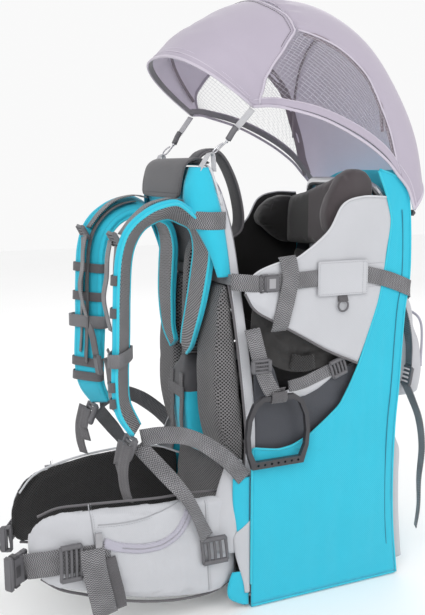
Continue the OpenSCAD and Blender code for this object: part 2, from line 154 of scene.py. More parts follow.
def make(name, verts, faces, mats, body, replaces=(), uvs=None, indices=None, smooth=True, slot=None):
    """A mesh object in metres that rides on a body."""
    mesh = bpy.data.meshes.new(name)
    mesh.from_pydata([tuple(v) for v in np.array(verts) * MM], [], [list(map(int, f)) for f in faces])
    if uvs is not None:
        layer = mesh.uv_layers.new(name="cloth")
        flat = [uv for face in uvs for uv in face]
        layer.data.foreach_set("uv", np.array(flat, float).ravel() * MM)
    for m in as_list(mats):
        mesh.materials.append(m)
    if indices is not None:
        mesh.polygons.foreach_set("material_index", indices)
    bm = bmesh.new()
    bm.from_mesh(mesh)
    bmesh.ops.recalc_face_normals(bm, faces=bm.faces)
    bm.to_mesh(mesh)
    bm.free()
    mesh.polygons.foreach_set("use_smooth", [smooth] * len(mesh.polygons))
    obj = bpy.data.objects.new(name, mesh)
    bpy.context.collection.objects.link(obj)
    return attach(obj, body, replaces)


def sharpen(obj, angle=35):
    """Keeps edges sharper than angle crisp."""
    mesh = obj.data
    bm = bmesh.new()
    bm.from_mesh(mesh)
    limit = math.radians(angle)
    for e in bm.edges:
        e.smooth = not (len(e.link_faces) == 2 and e.calc_face_angle(0) > limit)
    bm.to_mesh(mesh)
    bm.free()
    return obj


BACK_FACE = -1.3       # two neighbouring profile points below this sum lie on a strap's back face
WEB_PROFILE = [(-1, -0.6), (-0.96, -1), (-0.6, -1), (0, -1), (0.6, -1), (0.96, -1), (1, -0.6),
               (1, 0.6), (0.96, 1), (0.6, 1), (0, 1), (-0.6, 1), (-0.96, 1), (-1, 0.6)]


def padded_profile(power=0.55, n=20):
    """The outline of a pad's cross-section: a rounded box with half widths of 1; less power is squarer."""
    out = []
    for k in range(n):
        a = 2 * math.pi * (k + 0.5) / n
        c, s = math.cos(a), math.sin(a)
        out.append((math.copysign(abs(c) ** power, c), math.copysign(abs(s) ** power, s)))
    return out


def ribbon(name, p, sides, mats, body, profile=WEB_PROFILE, two_faced=False, **kw):
    """A strap through rows [x, y, z, width, thickness] with its width along the matching row of sides.
    With two_faced, the face that cross(heading, side) points away from gets the second material."""
    n, m = len(p), len(profile)
    t = heading(p[:, :3])
    a = sides - t * np.sum(sides * t, axis=1)[:, None]
    a /= np.linalg.norm(a, axis=1)[:, None]
    b = np.cross(t, a)
    prof = np.array(profile, float)
    verts = (p[:, None, :3] + a[:, None, :] * (prof[None, :, 0:1] * p[:, None, 3:4] / 2)
             + b[:, None, :] * (prof[None, :, 1:2] * p[:, None, 4:5] / 2)).reshape(-1, 3)
    along = np.concatenate([[0], np.cumsum(np.linalg.norm(np.diff(p[:, :3], axis=0), axis=1))])
    faces, uvs, idx = [], [], []
    for i in range(n - 1):
        for j in range(m):
            k = (j + 1) % m
            faces.append([i * m + j, i * m + k, (i + 1) * m + k, (i + 1) * m + j])
            u0, u1 = prof[j, 0] * p[i, 3] / 2, prof[k, 0] * p[i, 3] / 2
            uvs.append([(u0, along[i]), (u1, along[i]), (u1, along[i + 1]), (u0, along[i + 1])])
            idx.append(1 if two_faced and prof[j, 1] + prof[k, 1] < BACK_FACE else 0)
    for row, at in ((0, along[0]), (n - 1, along[-1])):
        faces.append([row * m + j for j in range(m)])
        uvs.append([(prof[j, 0] * p[row, 3] / 2, at) for j in range(m)])
        idx.append(0)
    return make(name, verts, faces, mats, body, uvs=uvs, indices=idx, **kw)


def band(name, route, mats, body, side=(1, 0, 0), step=5, smooth_route=True, **kw):
    """A strap along route rows [x, y, z, width, thickness].
    side is the direction of its width, or a pair of them, one for each end."""
    p = curve(route, step) if smooth_route else even(route, step)
    side = np.array(side, float)
    if side.ndim == 1:
        side = np.vstack([side, side])
    mix = np.linspace(0, 1, len(p))[:, None]
    return ribbon(name, p, side[0] * (1 - mix) + side[1] * mix, mats, body, **kw)


def web(name, points, width, thick, mat, body, side=(1, 0, 0), **kw):
    """Webbing of one width along points."""
    return band(name, [list(p) + [width, thick] for p in points], mat, body, side=side, **kw)


def tube(name, points, r, mat, body, sides=8, step=5, closed=False, smooth_route=True, **kw):
    """A round cord, piping or wire along points."""
    p = np.array(points, float)
    if closed:
        p = np.vstack([p, p[:1]])
    p = curve(p, step) if smooth_route else even(p, step)
    t = heading(p)
    a = np.cross(t[0], [0.31, 0.52, 0.79])
    a /= np.linalg.norm(a)
    frames = []
    for k in range(len(p)):
        a = a - t[k] * np.dot(a, t[k])
        a /= np.linalg.norm(a)
        frames.append((a.copy(), np.cross(t[k], a)))
    verts, faces = [], []
    for q, (u, v) in zip(p, frames):
        for j in range(sides):
            g = 2 * math.pi * j / sides
            verts.append(q + r * (u * math.cos(g) + v * math.sin(g)))
    for i in range(len(p) - 1):
        for j in range(sides):
            k = (j + 1) % sides
            faces.append([i * sides + j, i * sides + k, (i + 1) * sides + k, (i + 1) * sides + j])
    faces.append(list(range(sides)))
    faces.append([(len(p) - 1) * sides + j for j in range(sides)])
    return make(name, verts, faces, mat, body, **kw)


def stitches(name, lines, mat, body, pitch=3.4, long=2.2, r=0.35):
    """Rows of sewn stitches: short raised threads along each line."""
    verts, faces = [], []
    for line in lines:
        p = even(line, 1.0)
        t = heading(p)
        gap = max(1, int(round(pitch)))
        for k in range(0, len(p), gap):
            up = np.array([0, 0, 1.0]) if abs(t[k][2]) < 0.9 else np.array([0, 1.0, 0])
            u = np.cross(t[k], up)
            u /= np.linalg.norm(u)
            v = np.cross(t[k], u)
            base = len(verts)
            for s, grow in ((-0.5, 0.5), (-0.25, 1), (0.25, 1), (0.5, 0.5)):
                for c in ((1, 0), (0, 1), (-1, 0), (0, -1)):
                    verts.append(p[k] + t[k] * long * s + (u * c[0] + v * c[1]) * r * grow)
            for i in range(3):
                for j in range(4):
                    a, b = base + i * 4 + j, base + i * 4 + (j + 1) % 4
                    faces.append([a, b, b + 4, a + 4])
            faces.append([base, base + 1, base + 2, base + 3])
            faces.append([base + 12, base + 13, base + 14, base + 15])
    return make(name, verts, faces, mat, body, smooth=True)


def grid_normals(g):
    """The unit normal at each point of a grid."""
    du = np.gradient(g, axis=0)
    dv = np.gradient(g, axis=1)
    n = np.cross(du, dv)
    return n / np.maximum(np.linalg.norm(n, axis=2), 1e-9)[..., None]


def cloth(name, grid, thick, mats, body, **kw):
    """A sheet of cloth of some thickness through a grid of points; mats are its two faces."""
    g = np.array(grid, float)
    rows, cols = g.shape[:2]
    n = grid_normals(g)
    verts = np.vstack([(g + n * thick / 2).reshape(-1, 3), (g - n * thick / 2).reshape(-1, 3)])
    lift = rows * cols
    faces, idx, uvs = [], [], []
    u = np.zeros((rows, cols))
    v = np.zeros((rows, cols))
    u[1:] = np.cumsum(np.linalg.norm(np.diff(g, axis=0), axis=2), axis=0)
    v[:, 1:] = np.cumsum(np.linalg.norm(np.diff(g, axis=1), axis=2), axis=1)
    flat_u, flat_v = u.ravel(), v.ravel()

    def add(face, which):
        faces.append(face)
        idx.append(which)
        uvs.append([(flat_u[q % lift], flat_v[q % lift]) for q in face])
    for i in range(rows - 1):
        for j in range(cols - 1):
            a = i * cols + j
            add([a, a + 1, a + cols + 1, a + cols], 0)
            add([a + lift, a + cols + lift, a + cols + 1 + lift, a + 1 + lift], 1)
    rim = list(range(cols)) + [i * cols + cols - 1 for i in range(1, rows)]
    rim += [(rows - 1) * cols + j for j in range(cols - 2, -1, -1)] + [i * cols for i in range(rows - 2, 0, -1)]
    for a, b in zip(rim, rim[1:] + rim[:1]):
        add([a, b, b + lift, a + lift], 0)
    mats = mats if isinstance(mats, (list, tuple)) else [mats, mats]
    return make(name, verts, faces, mats, body, uvs=uvs, indices=idx, **kw)


def between(a, b, i, v):
    """The point of row i, a share v of the way from line a to line b."""
    return a[i] * (1 - v) + b[i] * v


def loft(name, rings, mats, body, **kw):
    """Closes a stack of rings (each the same number of points) into one solid."""
    r = np.array(rings, float)
    n, m = r.shape[:2]
    faces, uvs = [], []
    middle_ring = np.vstack([r[n // 2], r[n // 2][:1]])
    along = np.concatenate([[0], np.cumsum(np.linalg.norm(np.diff(r.mean(axis=1), axis=0), axis=1))])
    around = np.concatenate([[0], np.cumsum(np.linalg.norm(np.diff(middle_ring, axis=0), axis=1))])
    for i in range(n - 1):
        for j in range(m):
            k = (j + 1) % m
            faces.append([i * m + j, i * m + k, (i + 1) * m + k, (i + 1) * m + j])
            uvs.append([(around[j], along[i]), (around[j + 1], along[i]), (around[j + 1], along[i + 1]),
                        (around[j], along[i + 1])])
    for row in (0, n - 1):
        faces.append([row * m + j for j in range(m)])
        uvs.append([(around[j], along[row]) for j in range(m)])
    return make(name, r.reshape(-1, 3), faces, mats, body, uvs=uvs, **kw)


def rotation(turn):
    """The matrix that turns by three angles in degrees round X, Y and Z."""
    return np.array(Euler([math.radians(a) for a in turn]).to_matrix())


def block(name, low, high, mats, body, bevel=1.5, turn=None, at=(0, 0, 0), **kw):
    """A box with rounded edges; turn is a rotation in degrees round X, Y, Z before it is put at a place."""
    bm = bmesh.new()
    bmesh.ops.create_cube(bm, size=1)
    low, high = np.array(low, float), np.array(high, float)
    for v in bm.verts:
        v.co = Vector((np.array(v.co) + 0.5) * (high - low) + low)
    bmesh.ops.bevel(bm, geom=bm.edges[:], offset=bevel, segments=3, affect="EDGES")
    verts = np.array([v.co for v in bm.verts])
    faces = [[v.index for v in f.verts] for f in bm.faces]
    bm.free()
    if turn is not None:
        verts = verts @ rotation(turn).T
    obj = make(name, verts + np.array(at, float), faces, mats, body, **kw)
    return sharpen(obj, 50)


def join(name, parts, body, replaces=(), slot=None):
    """Several objects as one piece."""
    bpy.ops.object.select_all(action="DESELECT")
    for p in parts:
        p.select_set(True)
    bpy.context.view_layer.objects.active = parts[0]
    bpy.ops.object.join()
    obj = bpy.context.view_layer.objects.active
    obj.name = name
    obj.data.name = name
    return attach(obj, body, replaces)


def puff(obj, voxel=5.0, frames=18, cap=8.0):
    """Cloth simulation: the closed form is remeshed, blown up like a filled pad and applied.
    No point moves further than cap, so that the pad stays clear of its neighbours."""
    bpy.ops.object.select_all(action="DESELECT")
    bpy.context.view_layer.objects.active = obj
    obj.select_set(True)
    mod = obj.modifiers.new("remesh", "REMESH")
    mod.mode = "VOXEL"
    mod.voxel_size = voxel * MM
    mod.use_smooth_shade = True
    bpy.ops.object.modifier_apply(modifier=mod.name)
    start = np.array([v.co for v in obj.data.vertices])
    sim = obj.modifiers.new("cloth", "CLOTH")
    sim.settings.use_pressure = True
    sim.settings.uniform_pressure_force = 4.0
    sim.settings.effector_weights.gravity = 0
    sim.settings.quality = 4
    sim.settings.tension_stiffness = 12
    sim.settings.compression_stiffness = 12
    sim.settings.bending_stiffness = 0.4
    sim.point_cache.frame_start = 1
    sim.point_cache.frame_end = frames
    scene = bpy.context.scene
    for f in range(1, frames + 1):
        scene.frame_set(f)
    graph = bpy.context.evaluated_depsgraph_get()
    solved = obj.evaluated_get(graph).data
    end = np.array([v.co for v in solved.vertices])
    obj.modifiers.remove(sim)
    scene.frame_set(1)
    move = end - start
    size = np.linalg.norm(move, axis=1)[:, None]
    limit = cap * MM
    move *= np.minimum(1, limit / np.maximum(size, 1e-9))
    obj.data.vertices.foreach_set("co", (start + move).ravel())
    obj.data.update()
    sub = obj.modifiers.new("subdivide", "SUBSURF")
    sub.levels = 1
    sub.render_levels = 1
    bpy.ops.object.modifier_apply(modifier=sub.name)
    obj.data.polygons.foreach_set("use_smooth", [True] * len(obj.data.polygons))
    return obj


def paint_by(obj, rule):
    """Gives each face the material slot that rule(centre in mm, normal) names."""
    for f in obj.data.polygons:
        f.material_index = rule(np.array(f.center) / MM, np.array(f.normal))
    return obj


# ---------------------------------------------------------------- materials

class Nodes:
    """A short way to wire a node material."""

    def __init__(self, name):
        self.mat = bpy.data.materials.new(name)
        self.mat.use_nodes = True
        self.tree = self.mat.node_tree
        self.shader = self.tree.nodes["Principled BSDF"]

    def new(self, kind, **values):
        node = self.tree.nodes.new(kind)
        for key, value in values.items():
            if key.startswith("_"):
                setattr(node, key[1:], value)
            else:
                node.inputs[key.replace("__", " ")].default_value = value
        return node

    def link(self, a, b):
        self.tree.links.new(a, b)

    def math(self, op, a, b=None, c=None):
        node = self.new("ShaderNodeMath", _operation=op)
        for socket, value in zip(node.inputs, (a, b, c)):
            if value is None:
                continue
            if isinstance(value, (int, float)):
                socket.default_value = value
            else:
                self.link(value, socket)
        return node.outputs[0]

    def mix(self, factor, a, b):
        node = self.new("ShaderNodeMix", _data_type="RGBA")
        for socket, value in ((node.inputs["Factor"], factor), (node.inputs[6], a), (node.inputs[7], b)):
            if isinstance(value, (int, float)):
                socket.default_value = value
            elif isinstance(value, tuple):
                socket.default_value = (*value, 1)
            else:
                self.link(value, socket)
        return node.outputs[2]

    def coords(self, kind="Object"):
        tex = self.new("ShaderNodeTexCoord")
        split = self.new("ShaderNodeSeparateXYZ")
        self.link(tex.outputs[kind], split.inputs[0])
        return tex.outputs[kind], split.outputs[0], split.outputs[1], split.outputs[2]

    def finish(self, color, height=None, bump=0.3, distance=0.0006):
        self.link(color, self.shader.inputs["Base Color"])
        if height is not None:
            node = self.new("ShaderNodeBump", Strength=bump, Distance=distance)
            self.link(height, node.inputs["Height"])
            self.link(node.outputs[0], self.shader.inputs["Normal"])
        return self.mat


def shade(n, rough, sheen=0.0, metal=0.0):
    """Sets a shader's uniform values."""
    n.shader.inputs["Roughness"].default_value = rough
    n.shader.inputs["Metallic"].default_value = metal
    n.shader.inputs["Sheen Weight"].default_value = sheen


def dye(r, g, b, share=0.8):
    """A shade given as an 8-bit sRGB colour, as a linear albedo; the studio light is a little above 1."""
    def linear(c):
        return ((c / 255 + 0.055) / 1.055) ** 2.4 if c > 10 else c / 255 / 12.92
    return tuple(share * linear(c) for c in (r, g, b))


def tint(color, f):
    """The colour made darker or paler by a factor."""
    return tuple(min(1.0, c * f) for c in color)


def clouds(n, vec, size, detail=3.0):
    """Soft noise from 0 to 1 with patches of a size in mm."""
    tex = n.new("ShaderNodeTexNoise", Scale=1 / (size * MM), Detail=detail)
    n.link(vec, tex.inputs["Vector"])
    return tex.outputs["Fac"]


def woven(name, color, pitch=1.6, rib=0.35, contrast=0.12, rough=0.75, sheen=0.25, soft=0.1, bump=0.35):
    """Twill cloth: fine diagonal ribs, crossing yarns and slow changes of shade."""
    n = Nodes(name)
    vec, x, y, z = n.coords()
    k = 2 * math.pi / (pitch * MM)
    diagonal = n.math("SINE", n.math("MULTIPLY", n.math("ADD", n.math("ADD", x, y), z), k))
    cross = n.math("SINE", n.math("MULTIPLY", n.math("SUBTRACT", n.math("ADD", x, y), z), k * 2.1))
    yarn = n.math("MULTIPLY_ADD", diagonal, 0.5, n.math("MULTIPLY_ADD", cross, rib * 0.3, 0.5))
    slow = clouds(n, vec, 60)
    grain = clouds(n, vec, 3, 2.0)
    shade_of = n.math("MULTIPLY_ADD", slow, 0.9, n.math("MULTIPLY", grain, 0.25))
    base = n.mix(shade_of, tint(color, 1 - soft), tint(color, 1 + soft))
    final = n.mix(n.math("MULTIPLY", n.math("SUBTRACT", 1.0, yarn), contrast * 2), base, tint(color, 0.55))
    shade(n, rough, sheen)
    return n.finish(final, n.math("MULTIPLY_ADD", grain, 0.4, yarn), bump)


def ribbed_webbing(name, dark, light, pitch=3.4):
    """Woven webbing: chevron ribs across its width that shimmer light and dark along its length."""
    n = Nodes(name)
    _, u, v, _ = n.coords("UV")
    obj = n.new("ShaderNodeTexCoord").outputs["Object"]
    k = 2 * math.pi / (pitch * MM)
    zig = n.math("MULTIPLY", n.math("PINGPONG", u, 3.2 * MM), 0.9)
    wobble = n.math("MULTIPLY", clouds(n, obj, 9), 2.2 * MM)
    ribs = n.math("SINE", n.math("MULTIPLY", n.math("ADD", n.math("ADD", v, zig), wobble), k))
    yarns = n.math("SINE", n.math("MULTIPLY", u, 2 * math.pi / (1.3 * MM)))
    height = n.math("MULTIPLY_ADD", ribs, 0.5, n.math("MULTIPLY_ADD", yarns, 0.2, 0.5))
    patch = clouds(n, obj, 28)
    tone = n.math("MULTIPLY", n.math("POWER", n.math("MULTIPLY_ADD", ribs, 0.5, 0.5), 1.4),
                  n.math("MULTIPLY_ADD", patch, 1.1, 0.2))
    shade(n, 0.72, 0.2)
    return n.finish(n.mix(tone, dark, light), height, 0.6, 0.0009)


def air_mesh(name, hole, thread, pitch=4.6, across="X", up="Z", uv=False, sharp=0.25, bump=0.8):
    """Open spacer mesh: a diamond net of pale threads over dark holes."""
    n = Nodes(name)
    _, x, y, z = n.coords("UV" if uv else "Object")
    obj = n.new("ShaderNodeTexCoord").outputs["Object"]
    axes = {"X": x, "Y": y, "Z": z}
    p, q = (x, y) if uv else (axes[across], axes[up])
    k = 2 * math.pi / (pitch * MM)
    a = n.math("SINE", n.math("MULTIPLY", n.math("ADD", p, q), k * 0.5))
    b = n.math("SINE", n.math("MULTIPLY", n.math("SUBTRACT", p, q), k * 0.5))
    net = n.math("ABSOLUTE", n.math("MULTIPLY", a, b))
    hole_mask = n.new("ShaderNodeMapRange")
    hole_mask.inputs["From Min"].default_value = sharp
    hole_mask.inputs["From Max"].default_value = sharp + 0.35
    n.link(net, hole_mask.inputs["Value"])
    slow = clouds(n, obj, 35)
    pale = n.mix(slow, tint(thread, 0.75), tint(thread, 1.2))
    shade(n, 0.85, 0.15)
    relief = n.math("SUBTRACT", 1.0, hole_mask.outputs[0])
    return n.finish(n.mix(hole_mask.outputs[0], pale, hole), relief, bump, 0.0012)


def varied_roughness(n, factor, low, high):
    """Roughness that wanders between two values."""
    mapped = n.new("ShaderNodeMapRange")
    mapped.inputs["To Min"].default_value = low
    mapped.inputs["To Max"].default_value = high
    n.link(factor, mapped.inputs["Value"])
    n.link(mapped.outputs[0], n.shader.inputs["Roughness"])


def plastic(name, color, rough=0.42, grain=0.5):
    """Moulded plastic with a fine texture and slightly worn gloss."""
    n = Nodes(name)
    vec, _, _, _ = n.coords()
    fine = clouds(n, vec, 0.8, 4)
    slow = clouds(n, vec, 18)
    shade(n, rough)
    varied_roughness(n, slow, rough - 0.08, rough + 0.12)
    return n.finish(n.mix(slow, tint(color, 0.85), tint(color, 1.2)), fine, 0.15 * grain, 0.0002)


def metal(name, color, rough=0.3):
    """Brushed or plated metal with fine scratches."""
    n = Nodes(name)
    vec, _, _, _ = n.coords()
    fine = clouds(n, vec, 0.5, 5)
    slow = clouds(n, vec, 12)
    shade(n, rough, metal=1.0)
    varied_roughness(n, fine, rough - 0.08, rough + 0.15)
    return n.finish(n.mix(slow, tint(color, 0.85), color), fine, 0.1, 0.0001)


def rib_cloth(name, color, pitch=3.0, contrast=0.2):
    """Cloth with fine level lines."""
    n = Nodes(name)
    vec, _, _, z = n.coords()
    line = n.math("SINE", n.math("MULTIPLY", z, 2 * math.pi / (pitch * MM)))
    slow = clouds(n, vec, 50)
    base = n.mix(slow, tint(color, 0.93), tint(color, 1.07))
    shade(n, 0.7, 0.25)
    return n.finish(n.mix(n.math("MULTIPLY_ADD", line, contrast * 0.5, contrast * 0.5), base,
                          tint(color, 0.6)),
                    line, 0.3)


TURQUOISE = woven("turquoise_twill", dye(34, 201, 230), pitch=3.4, contrast=0.09, soft=0.06)
TURQUOISE_FINE = woven("turquoise_fine", dye(34, 201, 230), pitch=2.2, contrast=0.05, soft=0.08)
TURQUOISE_PIPING = woven("turquoise_piping", dye(48, 210, 234), pitch=1.8, contrast=0.04, soft=0.05)
LIGHT = woven("light_grey_twill", dye(207, 208, 213), pitch=2.6, contrast=0.06, soft=0.06, sheen=0.1)
LIGHT_PIPING = woven("light_piping", dye(224, 225, 229), pitch=1.6, contrast=0.05, soft=0.04)
CHARCOAL = woven("charcoal_lining", dye(68, 70, 78), pitch=2.4, contrast=0.10, soft=0.25, rough=0.65)
# Black lining cloth. On the headrest's far arm and far half, this same black is painted shade.
BLACK_LINING_AND_PAINTED_SHADE = woven("black_lining", dye(32, 30, 30), pitch=2.4, contrast=0.15, soft=0.3, rough=0.7)
HEADREST = woven("brown_grey_fleece", dye(72, 64, 67), pitch=1.8, contrast=0.08, soft=0.2, rough=0.9,
                 sheen=0.4)
DARK_FLAP = woven("dark_grey_cloth", dye(80, 79, 83), pitch=2.4, contrast=0.14, soft=0.15)
BINDING = woven("grey_binding", dye(108, 105, 109), pitch=1.6, contrast=0.1, soft=0.1)
# Painted light: this is a paler copy of the grey binding, used for the binding inside the canopy to offset the
# shade that falls there.
EDGE_INSIDE_PAINTED_LIGHT = woven("edge_inside", dye(150, 148, 152), pitch=1.6, contrast=0.08, soft=0.1)
MAUVE = woven("mauve_binding", dye(152, 140, 150), pitch=1.8, contrast=0.06, soft=0.15)
CANOPY = woven("canopy_cloth", dye(186, 177, 193), pitch=1.2, contrast=0.02, soft=0.04, rough=0.55,
               sheen=0.2,
               bump=0.12)
# Painted light: the canopy's inner face is much paler than its outer cloth. The extra paleness stands in for
# daylight coming through the thin cloth into the shade beneath.
CANOPY_IN_PAINTED_LIGHT = woven("canopy_inside", dye(226, 218, 232, 0.95), pitch=1.2, contrast=0.03, soft=0.07, rough=0.7,
                  bump=0.12)
CANOPY_PIPING = woven("canopy_piping", dye(212, 204, 218), pitch=1.2, contrast=0.03, soft=0.04)
NET_WHITE = woven("white_net", dye(226, 226, 230), pitch=1.2, contrast=0.02, soft=0.03)
NET_GREY = woven("grey_net", dye(214, 210, 220), pitch=1.2, contrast=0.02, soft=0.03)
WEBBING = ribbed_webbing("grey_webbing", dye(74, 73, 76), dye(178, 177, 181))
WEBBING_DARK = ribbed_webbing("dark_webbing", dye(80, 78, 81), dye(122, 120, 124), pitch=2.4)
WHITE_WEB = ribbed_webbing("white_webbing", dye(190, 190, 194), dye(236, 236, 240), pitch=2.2)
MESH_XZ = air_mesh("air_mesh_back", dye(12, 11, 12), dye(138, 136, 138), pitch=5.6)
MESH_YZ = air_mesh("air_mesh_side", dye(7, 7, 7), dye(54, 52, 53), across="Y")
MESH_EDGE = air_mesh("air_mesh_back_edge", dye(12, 11, 12), dye(138, 136, 138), pitch=5.6, across="Y")
MESH_UV = air_mesh("air_mesh_strap", dye(12, 11, 12), dye(168, 165, 168), pitch=5.8, uv=True)
ZIP_TAPE = rib_cloth("lavender_zip_tape", dye(196, 193, 207), pitch=2.2, contrast=0.35)
PLASTIC = plastic("dark_plastic", dye(70, 69, 72))
GREY_PLASTIC = plastic("grey_plastic", dye(104, 103, 107))
LIGHT_PLASTIC = plastic("light_plastic", dye(168, 167, 171))
STIRRUP_PLASTIC = plastic("stirrup_plastic", dye(60, 59, 63), rough=0.3)
STEEL = metal("plated_steel", (0.62, 0.62, 0.65), 0.25)
ALUMINIUM = metal("frame_aluminium", (0.70, 0.71, 0.73), 0.35)
THREAD_LIGHT = woven("pale_thread", dye(176, 177, 182), pitch=1.0, contrast=0.02, soft=0.02)
THREAD_DARK = woven("dark_thread", dye(64, 61, 64), pitch=1.0, contrast=0.02, soft=0.02)
THREAD_BLUE = woven("blue_thread", dye(24, 132, 158), pitch=1.0, contrast=0.02, soft=0.02)

# ---------------------------------------------------------------- canopy

# Stations from the visor's rim (0) to the rear hem (8): lower edge and crown as (y, z), and half the width.
CANOPY_EDGE = np.array([(-146, 799), (-122, 800), (-99, 796), (-37, 780), (28, 751), (74, 722), (100, 697),
                        (123, 672), (136, 640)], float)
CANOPY_CROWN = np.array([(-257, 877), (-218, 914), (-176, 941), (-111, 970), (-18, 974), (60, 944),
                         (122, 879),
                         (165, 796), (187, 700)], float)
CANOPY_HALF_W = np.array([117, 128, 138, 146, 149, 149.5, 149.5, 149.5, 149.5])
CROWN_POWER = 0.8      # below 1 the canopy's shoulders are squarer than an ellipse


def smooth_at(column, s):
    """The value of a column of stations at a fractional station."""
    i = int(min(max(math.floor(s), 0), len(column) - 2))
    a, b = column[max(i - 1, 0)], column[i]
    c, d = column[i + 1], column[min(i + 2, len(column) - 1)]
    t = s - i
    return 0.5 * (2 * b + (c - a) * t + (2 * a - 5 * b + 4 * c - d) * t ** 2 + (3 * b - a - 3 * c + d) * t ** 3)


def canopy_raw(s, u):
    """The canopy at station s, u degrees round from the right edge over the crown to the left edge."""
    a = math.radians(min(max(u, 0.0), 180.0))
    k = abs(math.sin(a)) ** CROWN_POWER
    c = math.copysign(abs(math.cos(a)) ** CROWN_POWER, math.cos(a))
    edge = [smooth_at(CANOPY_EDGE[:, 0], s), smooth_at(CANOPY_EDGE[:, 1], s)]
    crown = [smooth_at(CANOPY_CROWN[:, 0], s), smooth_at(CANOPY_CROWN[:, 1], s)]
    return np.array([smooth_at(CANOPY_HALF_W, s) * c, edge[0] + (crown[0] - edge[0]) * k,
                     edge[1] + (crown[1] - edge[1]) * k])


def canopy_normal(s, u):
    """The outward direction on the canopy."""
    ds = canopy_raw(min(s + 0.05, 8), u) - canopy_raw(max(s - 0.05, 0), u)
    du = canopy_raw(s, min(u + 1, 180)) - canopy_raw(s, max(u - 1, 0))
    n = np.cross(du, ds)
    n /= np.linalg.norm(n)
    return n if np.dot(n, canopy_raw(s, u) - np.array([0, 0, 780])) > 0 else -n


def canopy_at(s, u, lift=0.0):
    """A point on the canopy raised by lift."""
    p = canopy_raw(s, u)
    return p + canopy_normal(s, u) * lift if lift else p


# Where the visor's seam (at SEAM_S stations for SEAM_U degrees) and the rear end of the net run.
SEAM_U = [0, 3, 9, 16, 27, 39, 50, 64, 80, 100, 116, 130, 141, 153, 164, 171, 177, 180]
SEAM_S = [0.5, 0.7, 1.35, 1.95, 2.6, 3.15, 3.2, 3.05, 3.0, 3.0, 3.05, 3.2, 3.15, 2.7, 2.05, 1.45, 0.95, 0.8]
NET_U = [0, 4, 15, 26, 33, 40]
NET_S = [6.4, 5.7, 5.0, 4.6, 4.0, 3.22]


def seam_s(u):
    return float(np.interp(u, SEAM_U, SEAM_S))


def net_s(u):
    """Where the net ends and the back cloth begins."""
    return max(float(np.interp(min(u, 180 - u), NET_U, NET_S)), seam_s(u))


def canopy_panel(name, start, end, us, rows, ripple):
    """Canopy cloth from one station line to another, rippled by ripple(station, degrees, share)."""
    grid = np.zeros((len(us), rows, 3))
    for i, u in enumerate(us):
        for j in range(rows):
            t = j / (rows - 1)
            s = start(u) + (end(u) - start(u)) * t
            grid[i, j] = canopy_at(s, u, ripple(s, u, t))
    # The inner face takes the canopy cloth made paler with painted light.
    return cloth(name, grid, 1.0, [CANOPY_IN_PAINTED_LIGHT, CANOPY], "canopy")


def canopy_strip(name, path, width, thick, mat, lift):
    """Tape or binding along a path of (station, degrees) on the canopy."""
    su = even([[s * 40, u, 0] for s, u in path], 4.0)[:, :2] / [40, 1]
    pts = np.array([canopy_at(s, u, lift) for s, u in su])
    normals = np.array([canopy_normal(s, u) for s, u in su])
    sides = np.cross(heading(pts), normals)
    rows = np.column_stack([pts, np.full(len(pts), width), np.full(len(pts), thick)])
    return ribbon(name, rows, sides, mat, "canopy")


def net_threads(name, us, pitch, r, mat):
    """Warp-knit net: zigzag threads that meet their neighbours to leave six-sided holes."""
    verts, faces = [], []

    def thread(points):
        p = np.array(points)
        t = heading(p)
        a = np.cross(t, [0.2, 0.5, 0.8])
        a /= np.linalg.norm(a, axis=1)[:, None]
        b = np.cross(t, a)
        base = len(verts)
        for q, x, y in zip(p, a, b):
            verts.extend([q + x * r, q + y * r, q - x * r, q - y * r])
        for i in range(len(p) - 1):
            for j in range(4):
                c, d = base + i * 4 + j, base + i * 4 + (j + 1) % 4
                faces.append([c, d, d + 4, c + 4])

    reach = (us[1] - us[0]) * 0.5 * 0.92
    for u in us:
        start, end = seam_s(u), net_s(u)
        probe = np.array([canopy_raw(start + (end - start) * k / 12, u) for k in range(13)])
        length = sum(np.linalg.norm(b - a) for a, b in zip(probe, probe[1:]))
        n = max(2, int(length / pitch))
        line = []
        for j in range(n + 1):
            s = start + (end - start) * j / n
            line.append(canopy_at(s, min(max(u + reach * (1 if j % 2 else -1), 0), 180)))
        thread(line)
    return make(name, verts, faces, mat, "canopy")


def visor_ripple(s, u, t):
    slack = math.sin(math.pi * t)
    broad = 3.2 * noise.noise(Vector((s * 0.9, u / 34, 0.3)))
    return broad * slack + 1.6 * noise.noise(Vector((s * 2.6, u / 14, 5.1))) * slack


def back_ripple(s, u, t):
    """Gathers at the top seam that die out down the back cloth."""
    gathers = 2.6 * math.exp(-3.5 * t) * math.sin(math.pi * min(1, t * 14)) * math.sin(u * 0.62)
    return gathers + 3.0 * noise.noise(Vector((s * 0.8, u / 26, 9.3))) * math.sin(math.pi * t)


def canopy_cloth():
    """The visor and the back cloth as one cover, with net between them at both sides."""
    last = len(CANOPY_EDGE) - 1.0
    folds = [canopy_panel("canopy_visor", lambda u: 0.0, seam_s, np.linspace(0, 180, 91), 34, visor_ripple),
             canopy_panel("canopy_back", net_s, lambda u: last, np.linspace(0, 180, 121), 40, back_ripple)]
    cover = join("canopy_cloth", folds, "canopy", "canopy_cover", "canopy_cloth")
    net_threads("canopy_net_right", np.arange(1.2, 40.5, 1.35), 5.2, 0.33, NET_GREY)
    net_threads("canopy_net_left", np.arange(141.0, 179.8, 1.35), 5.2, 0.33, NET_WHITE)


